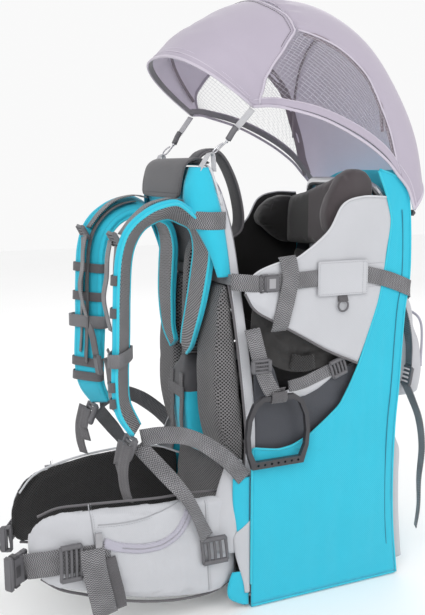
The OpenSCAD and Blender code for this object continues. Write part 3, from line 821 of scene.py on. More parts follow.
def canopy_tapes():
    """Seams, edge tapes and piping; a strip's last numbers are its width, thickness and lift."""
    for side, sx in LEFT_RIGHT:
        flip = (lambda u: u) if sx > 0 else (lambda u: 180 - u)
        seam = [(seam_s(flip(u)), flip(u)) for u in np.linspace(0.5, 90, 46)]
        canopy_strip("canopy_seam_" + side, seam, 3.2, 1.6, CANOPY_PIPING, 0.9)
        canopy_strip("canopy_seam_inside_" + side, seam, 5, 0.8, CANOPY, -1.2)
        tape = [(net_s(flip(u)), flip(u)) for u in np.linspace(1, 40, 30)][::-1]
        canopy_strip("canopy_tape_" + side, [(s + 0.12, u) for s, u in tape], 17, 0.9, MAUVE, -1.3)
        canopy_strip("canopy_net_seam_" + side, tape, 3, 1.1, CANOPY_PIPING, 0.8)
        # The inner edge binding below takes the binding made paler as painted light.
        for name, start, u, *size_and_mat in (("edge", 0, 0, 4.2, 2.6, CANOPY_PIPING, 0.9),
                                              ("edge_cover", 0, 1.7, 11, 0.8, CANOPY, 0.5),
                                              ("edge_inside", 0, 1.4, 9, 1.2, EDGE_INSIDE_PAINTED_LIGHT, -1.4),
                                              ("edge_line", 0.4, 3.0, 1.6, 1.2, CANOPY_PIPING, 0.8)):
            stations = np.linspace(start, 8, 60)
            canopy_strip("canopy_%s_%s" % (name, side), [(s, flip(u)) for s in stations], *size_and_mat)
    rim = [(0.0, u) for u in np.linspace(0, 180, 90)]
    canopy_strip("canopy_rim", rim, 4.0, 3.0, CANOPY_PIPING, 0.6)
    # The rim's inner binding takes the binding made paler as painted light.
    canopy_strip("canopy_rim_inside", [(0.14, u) for _, u in rim], 9, 1.4, EDGE_INSIDE_PAINTED_LIGHT, -1.2)
    canopy_strip("canopy_rim_line", [(0.28, u) for _, u in rim[2:-2]], 1.3, 1.1, CANOPY_PIPING, 0.7)
    back = [(8.0, u) for u in np.linspace(0, 180, 90)]
    canopy_strip("canopy_back_hem", back, 5, 2.4, CANOPY_PIPING, 0.2)
    top_line = [canopy_at(seam_s(u) - 0.10, u, 1.2) for u in np.linspace(30, 150, 80)]
    stitches("canopy_stitch_top", [top_line], THREAD_DARK, "canopy", 4.4, 3.2, 0.45)
    rows = [[canopy_at(seam_s(u) - 0.07, u, 0.9) for u in np.linspace(3, 30, 40)],
            [canopy_at(0.42, u, 0.7) for u in np.linspace(6, 174, 160)]]
    stitches("canopy_stitches", rows, CANOPY_IN_PAINTED_LIGHT, "canopy", 3.4, 2.0, 0.22)


def paint_cad(node, *mats):
    """A CAD node that stays shown takes these materials."""
    slots = frame["nodes"][node].data.materials
    slots.clear()
    for m in mats:
        slots.append(m)


canopy_cloth()
canopy_tapes()
paint_cad("canopy_bows", MAUVE)
paint_cad("canopy_studs", PLASTIC)


# ---------------------------------------------------------------- bag

BAG_REAR = [(130, 3), (119, 96), (115, 182), (116, 274), (121, 344), (127, 466), (135, 535), (131, 634),
            (117, 683),
            (66, 706)]
SIDE_FRONT = [(-158, 3), (-158, 80), (-158, 160), (-158, 240), (-157, 272), (-149, 269), (-111, 262),
              (-86, 265),
              (-55, 278), (-24, 300), (4, 322), (23, 355), (39, 388), (75, 489), (86, 549), (96, 624),
              (85, 662),
              (66, 703)]
# The height on the rear edge that each point of SIDE_FRONT is joined to.
SIDE_REAR_Z = [3, 70, 132, 195, 222, 226, 240, 250, 262, 282, 310, 345, 384, 476, 540, 612, 668, 703]


def rear_y(z):
    """How far back the bag reaches at a height."""
    line = curve(on_x(0, BAG_REAR), 3)
    return float(np.interp(z, line[:, 2], line[:, 1]))


def rear_point(z):
    """A point on the bag's rear edge; past 683 mm the edge turns forward to the top of the sleeve."""
    if z <= 683:
        return rear_y(z), z
    t = (z - 683) / (703 - 683)
    return 117 + (68 - 117) * t, 683 + (705 - 683) * t ** 0.6


def blend_to_stand(obj):
    """Takes a piece of the lower bag's cloth off any body and bakes its placement into its mesh."""
    if obj.parent is not None:
        obj.parent = None
    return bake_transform(obj)


def slumped(z, sx):
    """A height on a side panel, whose loose top corner has slumped on the far side."""
    return z if sx > 0 else z - 50 * max(0, (z - 560) / 140) ** 2


def side_edges():
    """The front and the rear edge of a side panel, row by row."""
    front = []
    rear = []
    steps = 8
    for i in range(len(SIDE_FRONT) - 1):
        for k in range(steps):
            t = k / steps
            front.append([SIDE_FRONT[i][0] + (SIDE_FRONT[i + 1][0] - SIDE_FRONT[i][0]) * t,
                          SIDE_FRONT[i][1] + (SIDE_FRONT[i + 1][1] - SIDE_FRONT[i][1]) * t])
            rear.append(rear_point(SIDE_REAR_Z[i] + (SIDE_REAR_Z[i + 1] - SIDE_REAR_Z[i]) * t))
    front.append(list(SIDE_FRONT[-1]))
    rear.append(rear_point(703))
    front = np.array(front)
    for _ in range(3):
        front[6:-1] = (front[5:-2] + 2 * front[6:-1] + front[7:]) / 4
    return front, rear


def side_panels():
    front, rear = side_edges()
    cols = 44
    for side, sx in LEFT_RIGHT:
        grid = np.zeros((len(front), cols, 3))
        for i in range(len(front)):
            for j in range(cols):
                t = j / (cols - 1)
                y = front[i][0] * (1 - t) + rear[i][0] * t
                z = front[i][1] * (1 - t) + rear[i][1] * t
                free = math.sin(math.pi * t) ** 0.6 * min(1, z / 60) * min(1, max(0, 330 - z) / 120)
                swell = 2.5 * free * math.sin(math.pi * min(1, z / 250))
                fold = 1.6 * noise.noise(Vector((y / 34, z / 190, 2.0 * sx))) * (0.35 + free)
                fold += 0.6 * noise.noise(Vector((y / 12, z / 50, 7.0 * sx)))
                grid[i, j] = [SIDE_X - 1.2 + swell + fold, y, slumped(z, sx)]
        grid[..., 0] *= sx
        grid = grid if sx > 0 else grid[:, ::-1]
        cover = cloth("bag_side_" + side, grid, 1.8, [CHARCOAL, TURQUOISE], None,
                      replaces="side_panel_" + side, slot="turquoise_cloth")
        blend_to_stand(cover)
        rim = [[(SIDE_X - 0.4) * sx, y, slumped(z, sx)] for y, z in front[4:]]
        hem = [[(SIDE_X - 0.2) * sx, y, slumped(z, sx)] for y, z in rear]
        foot = [[(SIDE_X - 0.4) * sx, y, 3] for y in np.linspace(-156, 128, 30)]
        for name, line, r in (("opening_binding", rim, 1.9), ("rear_piping", hem, 1.7),
                              ("foot_piping", foot, 1.7)):
            blend_to_stand(tube("bag_%s_%s" % (name, side), line, r, TURQUOISE_PIPING, None, step=6))
        inner = [[(SIDE_X + 0.6) * sx, y - 16, slumped(z, sx)]
                 for y, z in (rear_point(q) for q in np.linspace(60, 640, 100))]
        blend_to_stand(tube("bag_rear_seam_" + side, inner, 0.7, THREAD_BLUE, None, step=6, sides=6))


def collar():
    """Turquoise cloth that closes the bag's mouth behind the head."""
    grid = [[[x, rear_y(683) - 5, z] for z in np.linspace(632, 704 - 50 * (x < 0) * (x / 138) ** 2, 12)]
            for x in range(-138, 139, 6)]
    piece = cloth("bag_collar", grid, 1.4, TURQUOISE, "root")


def rear_and_base():
    """The bag's back, its floor and the zip down the back."""
    zs = np.linspace(4, 683, 66)
    xs = np.linspace(-142, 142, 40)
    grid = np.zeros((len(zs), len(xs), 3))
    for i, z in enumerate(zs):
        y = rear_y(z)
        for j, x in enumerate(xs):
            swell = 4.0 * math.cos(math.pi * x / 290) * min(1, z / 80)
            grid[i, j] = [x, y - 2.2 + swell + 1.5 * noise.noise(Vector((x / 60, z / 90, 3.3))), z]
    rear = cloth("bag_rear", grid, 1.8, [TURQUOISE, CHARCOAL], None, replaces="rear_panel",
                 slot="turquoise_cloth")
    blend_to_stand(rear)
    ys = np.linspace(-157, 128, 40)
    floor = np.zeros((len(ys), len(xs), 3))
    for i, y in enumerate(ys):
        for j, x in enumerate(xs):
            floor[i, j] = [x * 1.02, y, 1.6 + 0.4 * noise.noise(Vector((x / 50, y / 50, 1.0)))]
    base = cloth("bag_base", floor, 1.8, [TURQUOISE, BLACK_LINING_AND_PAINTED_SHADE], None, replaces="base_panel",
                 slot="turquoise_cloth")
    blend_to_stand(base)
    for side, sx in LEFT_RIGHT:
        strip = [[sx * 118, rear_y(z) + 1.8, z] for z in np.linspace(8, 345, 60)]
        blend_to_stand(web("zip_flap_" + side, strip, 36, 1.6, LIGHT, None, side=(sx, 0, 0)))
    tape = [[112, rear_y(z) + 3.2, z] for z in np.linspace(10, 340, 60)]
    blend_to_stand(web("zip_rear", tape, 9, 1.2, ZIP_TAPE, None, side=(1, 0, 0)))


side_panels()
rear_and_base()
collar()


# ---------------------------------------------------------------- side wings

WING_LOW = [(-172, 518), (-156, 493), (-128, 475), (-77, 447), (-20, 415), (36, 390), (56, 440), (73, 490),
            (83, 540)]
WING_TOP = [(-173, 530), (-149, 551), (-106, 565), (-79, 570), (-26, 608), (1, 650), (38, 662), (83, 661),
            (93, 624), (85, 556)]
WEBBING_Z = 538


def wing_puff(y, z):
    """How far the wing's cloth stands out: held flat under the side webbing, puffy ahead of the long rib."""
    away = 1 - math.exp(-((z - WEBBING_Z) / 17) ** 2)
    front = max(0.0, 1 - abs(y + 140) / 34)
    return 8.0 * front * away + 1.6 * away * max(0.0, 1 - abs(y + 20) / 90)


def side_wings():
    rows, cols = 72, 30
    low = count_to(curve(on_x(0, WING_LOW[:6]), 2), rows - 16)
    low = np.vstack([low, count_to(curve(on_x(0, WING_LOW[5:]), 2), 17)[1:]])
    top = count_to(curve(on_x(0, WING_TOP[:8]), 2), rows - 16)
    top = np.vstack([top, count_to(curve(on_x(0, WING_TOP[7:]), 2), 17)[1:]])
    for side, sx in LEFT_RIGHT:
        grid = np.zeros((rows, cols, 3))
        for i in range(rows):
            for j in range(cols):
                t = j / (cols - 1)
                p = low[i] * (1 - t) + top[i] * t
                rim = min(1.0, math.sin(math.pi * t) * 2.2)
                bump = wing_puff(p[1], p[2]) * rim
                fold = 0.9 * noise.noise(Vector((p[1] / 30, p[2] / 60, 4.0 * sx))) * rim
                grid[i, j] = [sx * (SIDE_X - 1.4 + max(-0.6, bump + fold)), p[1], p[2]]
        grid = grid if sx > 0 else grid[:, ::-1]
        wing = cloth("side_wing_cloth_" + side, grid, 1.8, [LIGHT, BLACK_LINING_AND_PAINTED_SHADE], "root",
                     replaces="side_wing_" + side, slot="light_cloth")
        around = [[sx * (SIDE_X - 0.6), y, z] for y, z in WING_LOW[5::-1]]
        tube("side_wing_binding_low_" + side, around, 2.0, BINDING, "root", step=4)
        crest = [[sx * (SIDE_X - 0.8), y, z] for y, z in WING_TOP[:8]]
        tube("side_wing_binding_top_" + side, crest, 1.7, LIGHT_PIPING, "root", step=4)


side_wings()

# ---------------------------------------------------------------- back

# Cross-sections: height, rear y, front y, inner x, outer x of a pad; and height, rear y, front y, half width.
PAD_RINGS = [(226, -163, -171, 46, 128), (238, -163, -188, 38, 134), (300, -163, -206, 36, 137),
             (365, -168.5, -210, 36, 134), (430, -175, -208, 36, 130), (490, -181, -202, 40, 124),
             (532, -185, -195, 46, 116)]
COLUMN = [(232, -160, -168, 28), (246, -160, -212, 34), (330, -162, -224, 34), (370, -166, -224, 31),
          (400, -169, -214, 11), (470, -174, -214, 10), (560, -184, -208, 12), (590, -187, -198, 12)]
BACK_LINE = [(-161, 22), (-161, 300), (-166, 365), (-179, 500), (-189, 596), (-203, 668)]
FULL = padded_profile()
SQUARE = padded_profile(0.35, 28)


def ring_at(centre, across, out, w, t, profile):
    """A profile of width w and thickness t round a centre."""
    c, a, o = np.array(centre, float), np.array(across, float), np.array(out, float)
    return [c + a * (w / 2 * u) + o * (t / 2 * v) for u, v in profile]


def mirrored(obj, name, body, replaces=()):
    """The same mesh on the other side of the middle."""
    mesh = obj.data.copy()
    mesh.name = name
    twin = bpy.data.objects.new(name, mesh)
    bpy.context.collection.objects.link(twin)
    for v in mesh.vertices:
        v.co.x = -v.co.x
    mesh.flip_normals()
    return attach(twin, body, replaces)


def level_ring(y, z, w, t):
    """A squarish ring of width w and depth t round the middle line at height z."""
    return ring_at([0, y, z], [1, 0, 0], [0, 1, 0], w, t, SQUARE)


def back_y(z):
    """The cloth behind the wearer's back at a height."""
    return float(np.interp(z, [p[1] for p in BACK_LINE], [p[0] for p in BACK_LINE]))


def panel(name, front, rear, x, mat):
    """Flat cloth at x between a front and a rear line of (y, z) points."""
    n = 36
    a, b = count_to(curve(on_x(x, front), 3), n), count_to(curve(on_x(x, rear), 3), n)
    grid = [[between(a, b, i, v) + [math.copysign(1.6 * math.sin(math.pi * v), x), 0, 0]
             for v in np.linspace(0, 1, 8)] for i in range(n)]
    obj = cloth(name, grid, 1.8, mat, "root")


def back_pads():
    """Two long mesh pads with piping down their edges."""
    rows = curve([(z, (yb + yf) / 2, (xi + xo) / 2, xo - xi, yb - yf) for z, yb, yf, xi, xo in PAD_RINGS],
                 8)
    rings = [ring_at([r[2], r[1], r[0]], [1, 0, 0], [0, 1, 0], r[3] - 2, max(r[4] - 2, 3),
                     SQUARE) for r in rows]
    pad = loft("back_pad_cloth_right", rings, MESH_XZ, "root", replaces="back_pad_right", slot="air_mesh")
    puff(pad, voxel=5.0, frames=14, cap=3.5)
    pad.data.materials.append(MESH_EDGE)
    paint_by(pad, lambda c, n: 1 if abs(n[0]) > 0.6 else 0)
    twin = mirrored(pad, "back_pad_cloth_left", "root", "back_pad_left")
    for side, sx in LEFT_RIGHT:
        for where, out in (("outer", 1), ("inner", -1)):
            line = [[sx * (r[2] + out * (r[3] / 2 - 1)), back_y(r[0]) - 4, r[0]] for r in rows]
            tube("back_pad_piping_%s_%s" % (where, side), line, 2.0, BINDING, "root")
        across = [[sx * x, back_y(538) - 4.5 - 2 * math.sin((x - 40) / 25), 538] for x in range(40, 132, 6)]
        web("back_pad_top_web_" + side, across, 17, 2.4, WEBBING, "root", side=(0, 0, 1))


def spine():
    """The cloth between the frame tubes and the column of padding down its middle."""
    grid = [[[x, back_y(z) - 0.2 + 0.6 * noise.noise(Vector((x / 30, z / 40, 2))), z]
             for x in np.linspace(-96, 96, 30)] for z in np.linspace(24, 666, 90)]
    cover = cloth("spine_cloth", grid, 1.6, DARK_FLAP, "root", replaces="spine_panel", slot="air_mesh")
    column = curve([(z, (yb + yf) / 2, half, yb - yf) for z, yb, yf, half in COLUMN], 6)
    rings = [(z, level_ring(y, z, 2 * half, t)) for z, y, half, t in column]
    low = loft("spine_channel", [ring for z, ring in rings if z < 405], [TURQUOISE_FINE, DARK_FLAP], "root",
               slot="turquoise_cloth")
    paint_by(low, lambda c, n: 0 if c[2] < 342 else 1)
    high = loft("spine_column_pad", [ring for z, ring in rings if z >= 399], MESH_XZ, "root",
                slot="air_mesh")
    for side, sx in LEFT_RIGHT[::-1]:
        line = [[sx * 20, -226.3 - 0.5 * math.sin(z / 9), z] for z in np.linspace(250, 372, 30)]
        web("spine_webbing_" + side, line, 14, 1.6, WEBBING_DARK, "root")
    cross = [[x, -227.5, 340] for x in np.linspace(-33, 33, 12)]
    web("spine_cross_web", cross, 20, 1.8, WEBBING_DARK, "root", side=(0, 0, 1))


def lumbar():
    rear = -163
    levels = ((42, -171, 90), (50, -182, 100), (72, -188, 103), (120, -191, 104), (170, -188, 104),
              (205, -182, 102), (226, -176, 96), (236, -171, 86))
    rows = curve([(z, (rear + y) / 2, half, rear - y) for z, y, half in levels], 8)
    rings = [level_ring(y, z, 2 * half - 3, max(t - 2, 4)) for z, y, half, t in rows]
    pad = loft("lumbar_cloth", rings, MESH_XZ, "root", replaces="lumbar_pad", slot="air_mesh")
    puff(pad, voxel=5.0, frames=14, cap=4)
    edge = [[-100, -180, 60], [-103, -182, 120], [-100, -178, 200], [-60, -184, 228], [0, -186, 232],
            [60, -184, 228], [100, -178, 200], [103, -182, 120], [100, -180, 60]]
    tube("lumbar_piping", edge, 2.0, BINDING, "root")


def frame_cloth():
    """Light sleeves over the frame tube and the cloth in front of the bag's foot."""
    sleeve = [(135.5, -157, 20, 17, 2.4), (135.5, -157, 160, 17, 2.4), (135.5, -157, 300, 17, 2.4),
              (131, -163, 395, 17, 2.4), (121.5, -173, 500, 16, 2.4), (111, -183, 596, 14, 2.4),
              (104.5, -198, 668, 11, 2.4)]
    for side, sx in LEFT_RIGHT:
        band("frame_sleeve_cloth_" + side, [[sx * r[0], *r[1:]] for r in sleeve], LIGHT, "root",
             side=(0, 1, 0),
             replaces="frame_sleeve", slot="light_cloth")
        seam = [[sx * (r[0] + 1.4), r[1] - 5.5, r[2]] for r in sleeve]
        stitches("frame_sleeve_stitch_" + side, [curve(seam, 4)], THREAD_LIGHT, "root", 5, 2.6, 0.25)
        panel("front_corner_cloth_" + side, [(-190, 224), (-190, 186), (-185, 146), (-182, 130)],
              [(-160, 224), (-160, 186), (-160, 146), (-160, 130)], sx * 142, TURQUOISE)
        panel("front_corner_patch_" + side, [(-184, 134), (-190, 122), (-184, 90), (-172, 50), (-168, 28)],
              [(-160, 150), (-160, 120), (-160, 90), (-160, 50), (-160, 28)], sx * 143.5, LIGHT)
        panel("front_corner_foot_" + side, [(-190, 66), (-198, 42), (-196, 24), (-184, 14), (-170, 7)],
              [(-160, 66), (-160, 42), (-160, 24), (-160, 14), (-160, 6)], sx * 141, TURQUOISE)


# Each cheek of the headboard, level by level: height and the (x, y) points from its front edge to the frame.
CHEEK = [(542, [(115, -204), (119, -200), (119, -192), (117.5, -184)]),
         (575, [(110, -214), (117, -207), (118, -197), (115, -187)]),
         (604, [(103, -227), (113, -219), (116, -205), (112, -190)]),
         (628, [(96, -240), (109, -229), (113, -212), (109, -193)]),
         (650, [(87, -247), (102, -238), (109, -219), (107, -197)]),
         (680, [(84, -246), (99, -238), (105, -222), (103.5, -205)]),
         (708, [(80, -236), (93, -231), (98, -222), (98, -211)])]


def headboard():
    """The padded wedge at the top of the back."""
    levels = ((648, -244, 88, -204, 103), (668, -246, 87, -206, 101), (690, -241, 84, -208, 98),
              (709, -232, 80, -210, 93))
    rows = curve([(z, (yf + yb) / 2, hf, hb, yb - yf) for z, yf, hf, yb, hb in levels], 6)
    rings = []
    for z, yc, hf, hb, t in rows:
        ring = []
        for u, v in padded_profile(0.3, 44):
            half = hf + (hb - hf) * (v + 1) / 2
            crown = 1.5 * (1 - abs(u)) if z > 690 else 0
            ring.append([u * (half - 2), yc + v * (t / 2 - 1.5), z + crown])
        rings.append(ring)
    pad = loft("headboard_pad", rings, TURQUOISE_FINE, "root", replaces="headboard", slot="turquoise_cloth")
    puff(pad, voxel=4.5, frames=12, cap=4)
    rim = [[-107, -194, 652], [-102, -204, 690], [-96, -211, 709], [-45, -211, 713], [45, -211, 713],
           [96, -211, 709], [102, -204, 690], [107, -194, 652]]
    tube("headboard_piping", rim, 2.0, LIGHT_PIPING, "root")


def headboard_sides():
    """Cloth cheeks from the wedge to the frame, the webbing round them and the loops for the canopy's hooks."""
    for side, sx in LEFT_RIGHT:
        across = np.array([count_to(curve([[sx * x, y, z] for x, y in level], 2), 12) for z,
                           level in CHEEK])
        grid = np.array([count_to(curve(across[:, k], 3), 48) for k in range(12)]).transpose(1, 0, 2)
        cheek = cloth("headboard_cheek_" + side, grid, 3.0, TURQUOISE_FINE, "root")
        wrap = on_side(sx, ((96, -244, 630), (108, -233, 629), (114, -219, 628), (116, -204, 628),
                            (112, -190, 628)))
        web("headboard_cheek_web_" + side, wrap, 27, 2.2, WEBBING, "root", side=(0, 0.1, 1))
        loop = on_side(sx, ((96, -228, 702), (99, -220, 716), (101.5, -213, 728), (102, -209, 730),
                            (102, -206, 726), (102, -205, 714), (101.5, -204, 702)))
        web("hook_loop_web_" + side, loop, 8, 1.5, WHITE_WEB, "root", side=(0.7, 0.5, 0),
            replaces="hook_loops", slot="white_webbing")


def headboard_flap():
    rows = [(-251.5, 661.5, 132), (-252, 663, 150), (-252.2, 666, 161), (-252, 672, 167), (-250, 688, 169),
            (-244, 709, 168), (-233, 719, 167), (-218, 721, 166), (-203, 715, 164)]
    band("headboard_flap_cloth", [[0, *row, 3.4] for row in rows], DARK_FLAP, "root",
         replaces="headboard_flap", slot="dark_cloth", step=3)
    border = [[sx * (w / 2 - 6), y - 1.9, z] for sx in (-1, 1) for y, z, w in rows[2:6]]
    lines = [curve(border[:4], 3), curve(border[4:], 3), even([[-72, -254, 669], [72, -254, 669]], 3)]
    stitches("headboard_flap_stitch", lines, THREAD_DARK, "root", 4, 2.8, 0.4)


def carry_handle():
    handle = [(0, -198, 717), (0, -182, 731), (0, -160, 734), (0, -141, 716), (0, -122, 676),
              (0, -112, 628),
              (0, -118, 602), (0, -146, 590), (0, -166, 590)]
    grip = band("carry_handle_cloth", [[*p, 36, 8.5] for p in handle], DARK_FLAP, "root", profile=FULL,
                replaces="carry_handle", slot="webbing")
    for side, sx in LEFT_RIGHT[::-1]:
        edge = [[sx * 17.5, y, z] for _, y, z in handle]
        tube("carry_handle_piping_" + side, edge, 1.8, BINDING, "root")


back_pads()
spine()
lumbar()
frame_cloth()
headboard()
headboard_sides()
headboard_flap()
carry_handle()


# ---------------------------------------------------------------- shoulder straps

# The strap's middle line with its width and thickness, from the yoke over the shoulder and down the front.
SHOULDER = [(24, -220, 415, 26, 9), (44, -221, 445, 46, 10), (62, -217, 495, 58, 12),
            (70, -212, 540, 63, 13),
            (74, -209, 580, 63, 13), (76, -217, 612, 61, 13), (76, -240, 633, 57, 13),
            (76, -275, 645, 56, 13),
            (76, -315, 638, 56, 13), (76, -346, 614, 56, 13), (76, -361, 578, 56, 13),
            (76, -366, 520, 56, 13),
            (76, -368, 450, 56, 13), (76, -371, 390, 56, 13), (78, -368, 345, 50, 12),
            (84, -350, 308, 38, 9)]


def strap_turn(y):
    """Degrees the strap is rolled, its outer edge lifting away from the pack, more on the front run."""
    return float(np.interp(y, [-352, -330, -275, -235, -220], [36, 30, 26, 12, 0]))


def strap_frame(sx):
    """The shoulder strap's middle line with its width and outward directions."""
    p = curve([[sx * r[0], *r[1:]] for r in SHOULDER], 4)
    t = heading(p[:, :3])
    a = np.array([1.0, 0, 0]) - t * t[:, :1]
    a /= np.linalg.norm(a, axis=1)[:, None]
    b = np.cross(t, a)
    turn = np.radians([sx * strap_turn(y) for y in p[:, 1]])[:, None]
    return p, a * np.cos(turn) + b * np.sin(turn), b * np.cos(turn) - a * np.sin(turn)


def on_strap(p, z0, z1):
    """Which rows of the strap's front run lie between two heights."""
    top = int(np.argmax(p[:, 2]))
    return [i for i in range(top, len(p)) if z0 <= p[i, 2] <= z1]


def shoulder_straps():
    profile = padded_profile(0.42, 28)
    for side, sx in LEFT_RIGHT:
        p, a, b = strap_frame(sx)
        rows = p.copy()
        rows[:, 4] += [0.8 * noise.noise(Vector((q[1] / 22, q[2] / 22, sx * 3))) for q in p]
        strap = ribbon("shoulder_strap_cloth_" + side, rows, a, [TURQUOISE_FINE, MESH_UV], "root",
                       profile=profile, two_faced=True, replaces="shoulder_strap_" + side,
                       slot="turquoise_cloth")
        for edge in (-1, 1):
            where = "%s_%s" % (side, "outer" if edge * sx > 0 else "inner")
            line = p[:, :3] + a * (edge * (p[:, 3:4] / 2 - 0.6)) - b * (p[:, 4:5] * 0.30)
            tube("shoulder_piping_" + where, line, 2.6, TURQUOISE_PIPING, "root", smooth_route=False)
            seam = p[:, :3] + a * (edge * (p[:, 3:4] / 2 - 7)) + b * (p[:, 4:5] / 2 - 0.1)
            stitches("shoulder_stitch_" + where, [seam[4:-4]], THREAD_BLUE, "root", 4, 2.4, 0.3)
        run = on_strap(p, 380, 650)
        wave = np.array([0.9 * abs(math.sin(k / 5.5)) for k in range(len(run))])[:, None]
        daisy = p[run, :3] + b[run] * (p[run, 4:5] / 2 + 1.2 + wave)
        web("shoulder_daisy_web_" + side, daisy, 24, 1.6, WEBBING_DARK, "root", smooth_route=False)
        for z in (545, 495, 384, 362):
            near = on_strap(p, z - 3, z + 3)
            k = near[len(near) // 2]
            loop = [p[k, :3] + a[k] * u * 30 + b[k] * v for u, v in
                    ((-0.98, -2), (-1.0, 5), (-0.8, 9.2), (0, 9.8), (0.8, 9.2), (1.0, 5), (0.98, -2))]
            web("shoulder_keeper_%s_%d" % (side, z), loop, 15, 1.6, WEBBING_DARK, "root", side=(0, 0.05, 1))


def lifter_webs():
    """Webbing from the headboard over the shoulder strap, its tail, and the ladder webbing beside it."""
    for side, sx in LEFT_RIGHT:
        lifter = [(-249, 658), (-280, 662), (-318, 655), (-346, 634), (-366, 610)]
        web("load_lifter_web_" + side, on_x(sx * 76, lifter), 22, 1.8, WEBBING, "root",
            replaces="load_lifters", slot="webbing")
        tail = [(-376, 600), (-381, 575), (-383, 545), (-388, 515), (-384, 488), (-378, 462)]
        web("load_lifter_tail_" + side, on_x(sx * 58, tail), 19, 1.7, WEBBING, "root")
        ladder = [(-374, 594), (-377, 560), (-378, 520), (-380, 480), (-381, 440), (-384, 400)]
        web("shoulder_ladder_web_" + side, on_x(sx * 84, ladder), 20, 1.7, WEBBING, "root")


def lock_plate(name, centre, turn, w, h, t, mat, body, bars=3, **kw):
    """A ladder lock: a curved plastic plate with cross bars and open slots."""
    c = np.array(centre, float)
    rot = rotation(turn)
    parts = []
    rim = [(-w / 2, -h / 2), (-w / 2 * 0.92, h / 2), (w / 2 * 0.92, h / 2), (w / 2, -h / 2)]
    ring = []
    for i in range(4):
        p, q = np.array(rim[i]), np.array(rim[(i + 1) % 4])
        for k in range(6):
            s = p + (q - p) * k / 6
            bow = 1.5 * (1 - (2 * s[0] / w) ** 2)
            ring.append(c + rot @ np.array([s[0], -bow, s[1]]))
    parts.append(tube(name, ring, t / 2, mat, body, closed=True, sides=10, step=2))
    for k in range(bars):
        z = -h / 2 + h * (k + 1) / (bars + 1)
        line = [c + rot @ np.array([x, -2.2 * (1 - (2 * x / w) ** 2), z])
                for x in np.linspace(-w / 2, w / 2, 8)]
        parts.append(tube(name + "_bar%d" % k, line, t * 0.42, mat, body, sides=10, step=3))
    for sx in (-1, 1):
        line = [c + rot @ np.array([sx * w * 0.48, -1.0, z]) for z in np.linspace(-h / 2, h / 2, 6)]
        parts.append(tube(name + "_side%d" % sx, line, t * 0.75, mat, body, sides=10, step=3))
    return join(name, parts, body, **kw)


def lower_webs():
    """Ladder locks at the foot of the shoulder straps, webbing to the back and the hips, and loose tails."""
    for side, sx in LEFT_RIGHT:
        lock_plate("lifter_lock_" + side, (sx * 76, -374, 603), (28, 0, 0), 32, 22, 5, GREY_PLASTIC, "root",
                   replaces="lifter_locks", slot="black_plastic")
        lock_plate("lower_lock_" + side, (sx * 93, -364, 287), (-22, 0, 0), 36, 30, 7, GREY_PLASTIC, "root",
                   replaces="lower_locks", slot="black_plastic")
        front = on_side(sx, ((96, -350, 288), (112, -334, 268), (134, -308, 236), (152, -282, 206),
                             (156, -262, 178), (154, -250, 158), (152, -240, 140)))
        web("lower_web_front_" + side, front, 25, 1.9, WEBBING, "root", side=(0, 0.62, 0.78),
            replaces="lower_straps", slot="webbing")
        rear = on_side(sx, ((98, -346, 300), (116, -318, 306), (132, -282, 304), (142, -245, 292),
                            (148, -212, 268), (148, -188, 244), (146, -172, 224)))
        web("lower_web_rear_" + side, rear, 26, 1.9, WEBBING, "root", side=((0, 0.1, 1), (0, 0.75, 0.6)))
        for k, (x, drop) in enumerate(((112, 208), (90, 238))):
            hang = on_side(sx, ((x, -372, 296), (x, -380, 262), (x + 1, -379, drop + 24),
                                (x + 2, -373, drop)))
            web("lower_tail_%d_%s" % (k, side), hang, 22, 1.8, WEBBING_DARK, "root", side=(0.9, 0.4, 0))


def sternum_bands():
    """A loop round each shoulder strap with half of the sternum buckle hanging from it."""
    reach = 35                     # half the loop's width
    heights = {"right": 425, "left": 453}
    for side, sx in LEFT_RIGHT:
        z0 = heights[side]
        body = "sternum_" + side
        loop = [(-reach, -361), (-reach - 1.5, -369), (-reach, -377), (-18, -379.5), (0, -380.5),
                (18, -379.5),
                (reach, -377), (reach + 1.5, -369), (reach, -361), (18, -358.6), (0, -358), (-18, -358.6)]
        roll = math.radians(strap_turn(-370))
        ring = [[sx * (76 + x * math.cos(roll) + (y + 369) * math.sin(roll)),
                 -369 - x * math.sin(roll) + (y + 369) * math.cos(roll), z0] for x, y in loop]
        web("sternum_loop_" + side, ring + ring[:1], 21, 1.8, WEBBING, body, side=(0, 0, 1),
            replaces="sternum_strap_" + side, slot="webbing")
        strap = on_side(sx, ((46, -376, z0), (40, -377, z0 - 6), (34, -374, z0 - 26), (31, -371, z0 - 52)))
        web("sternum_web_" + side, strap, 18, 1.7, WEBBING_DARK, body, side=((0.2, 0, 1), (1, 0.3, 0)))
        turn, at = (6, sx * 8, 0), (sx * 31, -370, z0 - 50)
        block("sternum_clip_" + side, (-13, -4, -34), (13, 4, 0), GREY_PLASTIC, body, 2.6, turn, at)
        block("sternum_clip_web_" + side, (-9, -5, -6), (9, 5, -2), PLASTIC, body, 1.2, turn, at)
        if side == "right":
            for prong in (-8, 0, 8):
                block("sternum_prong_%s_%d" % (side, prong), (prong - 2, -2.4, -50), (prong + 2, 2.4, -30),
                      GREY_PLASTIC, body, 1.2, turn, at)


def blender_pieces(wanted):
    """The pieces made here, not the CAD nodes, whose names pass a test."""
    return [obj for obj in bpy.data.objects
            if obj.type == "MESH" and obj.name not in frame["nodes"] and wanted(obj.name)]


def settle_harness():
    """Worn straps hang nearer the back and wider apart than their rest curve; everything on them follows."""
    tags = ("shoulder_", "load_lifter", "lifter_lock", "lower_", "sternum_")
    for obj in blender_pieces(lambda name: name.startswith(tags)):
        for v in obj.data.vertices:
            x, y, _ = v.co / MM
            share = min(1.0, max(0.0, (-235 - y) / 75))
            share = share * share * (3 - 2 * share)
            v.co.y += 17 * MM * share
            v.co.x += math.copysign(8 * MM * share, x)


shoulder_straps()
lifter_webs()
lower_webs()
sternum_bands()
settle_harness()


# ---------------------------------------------------------------- hip belt

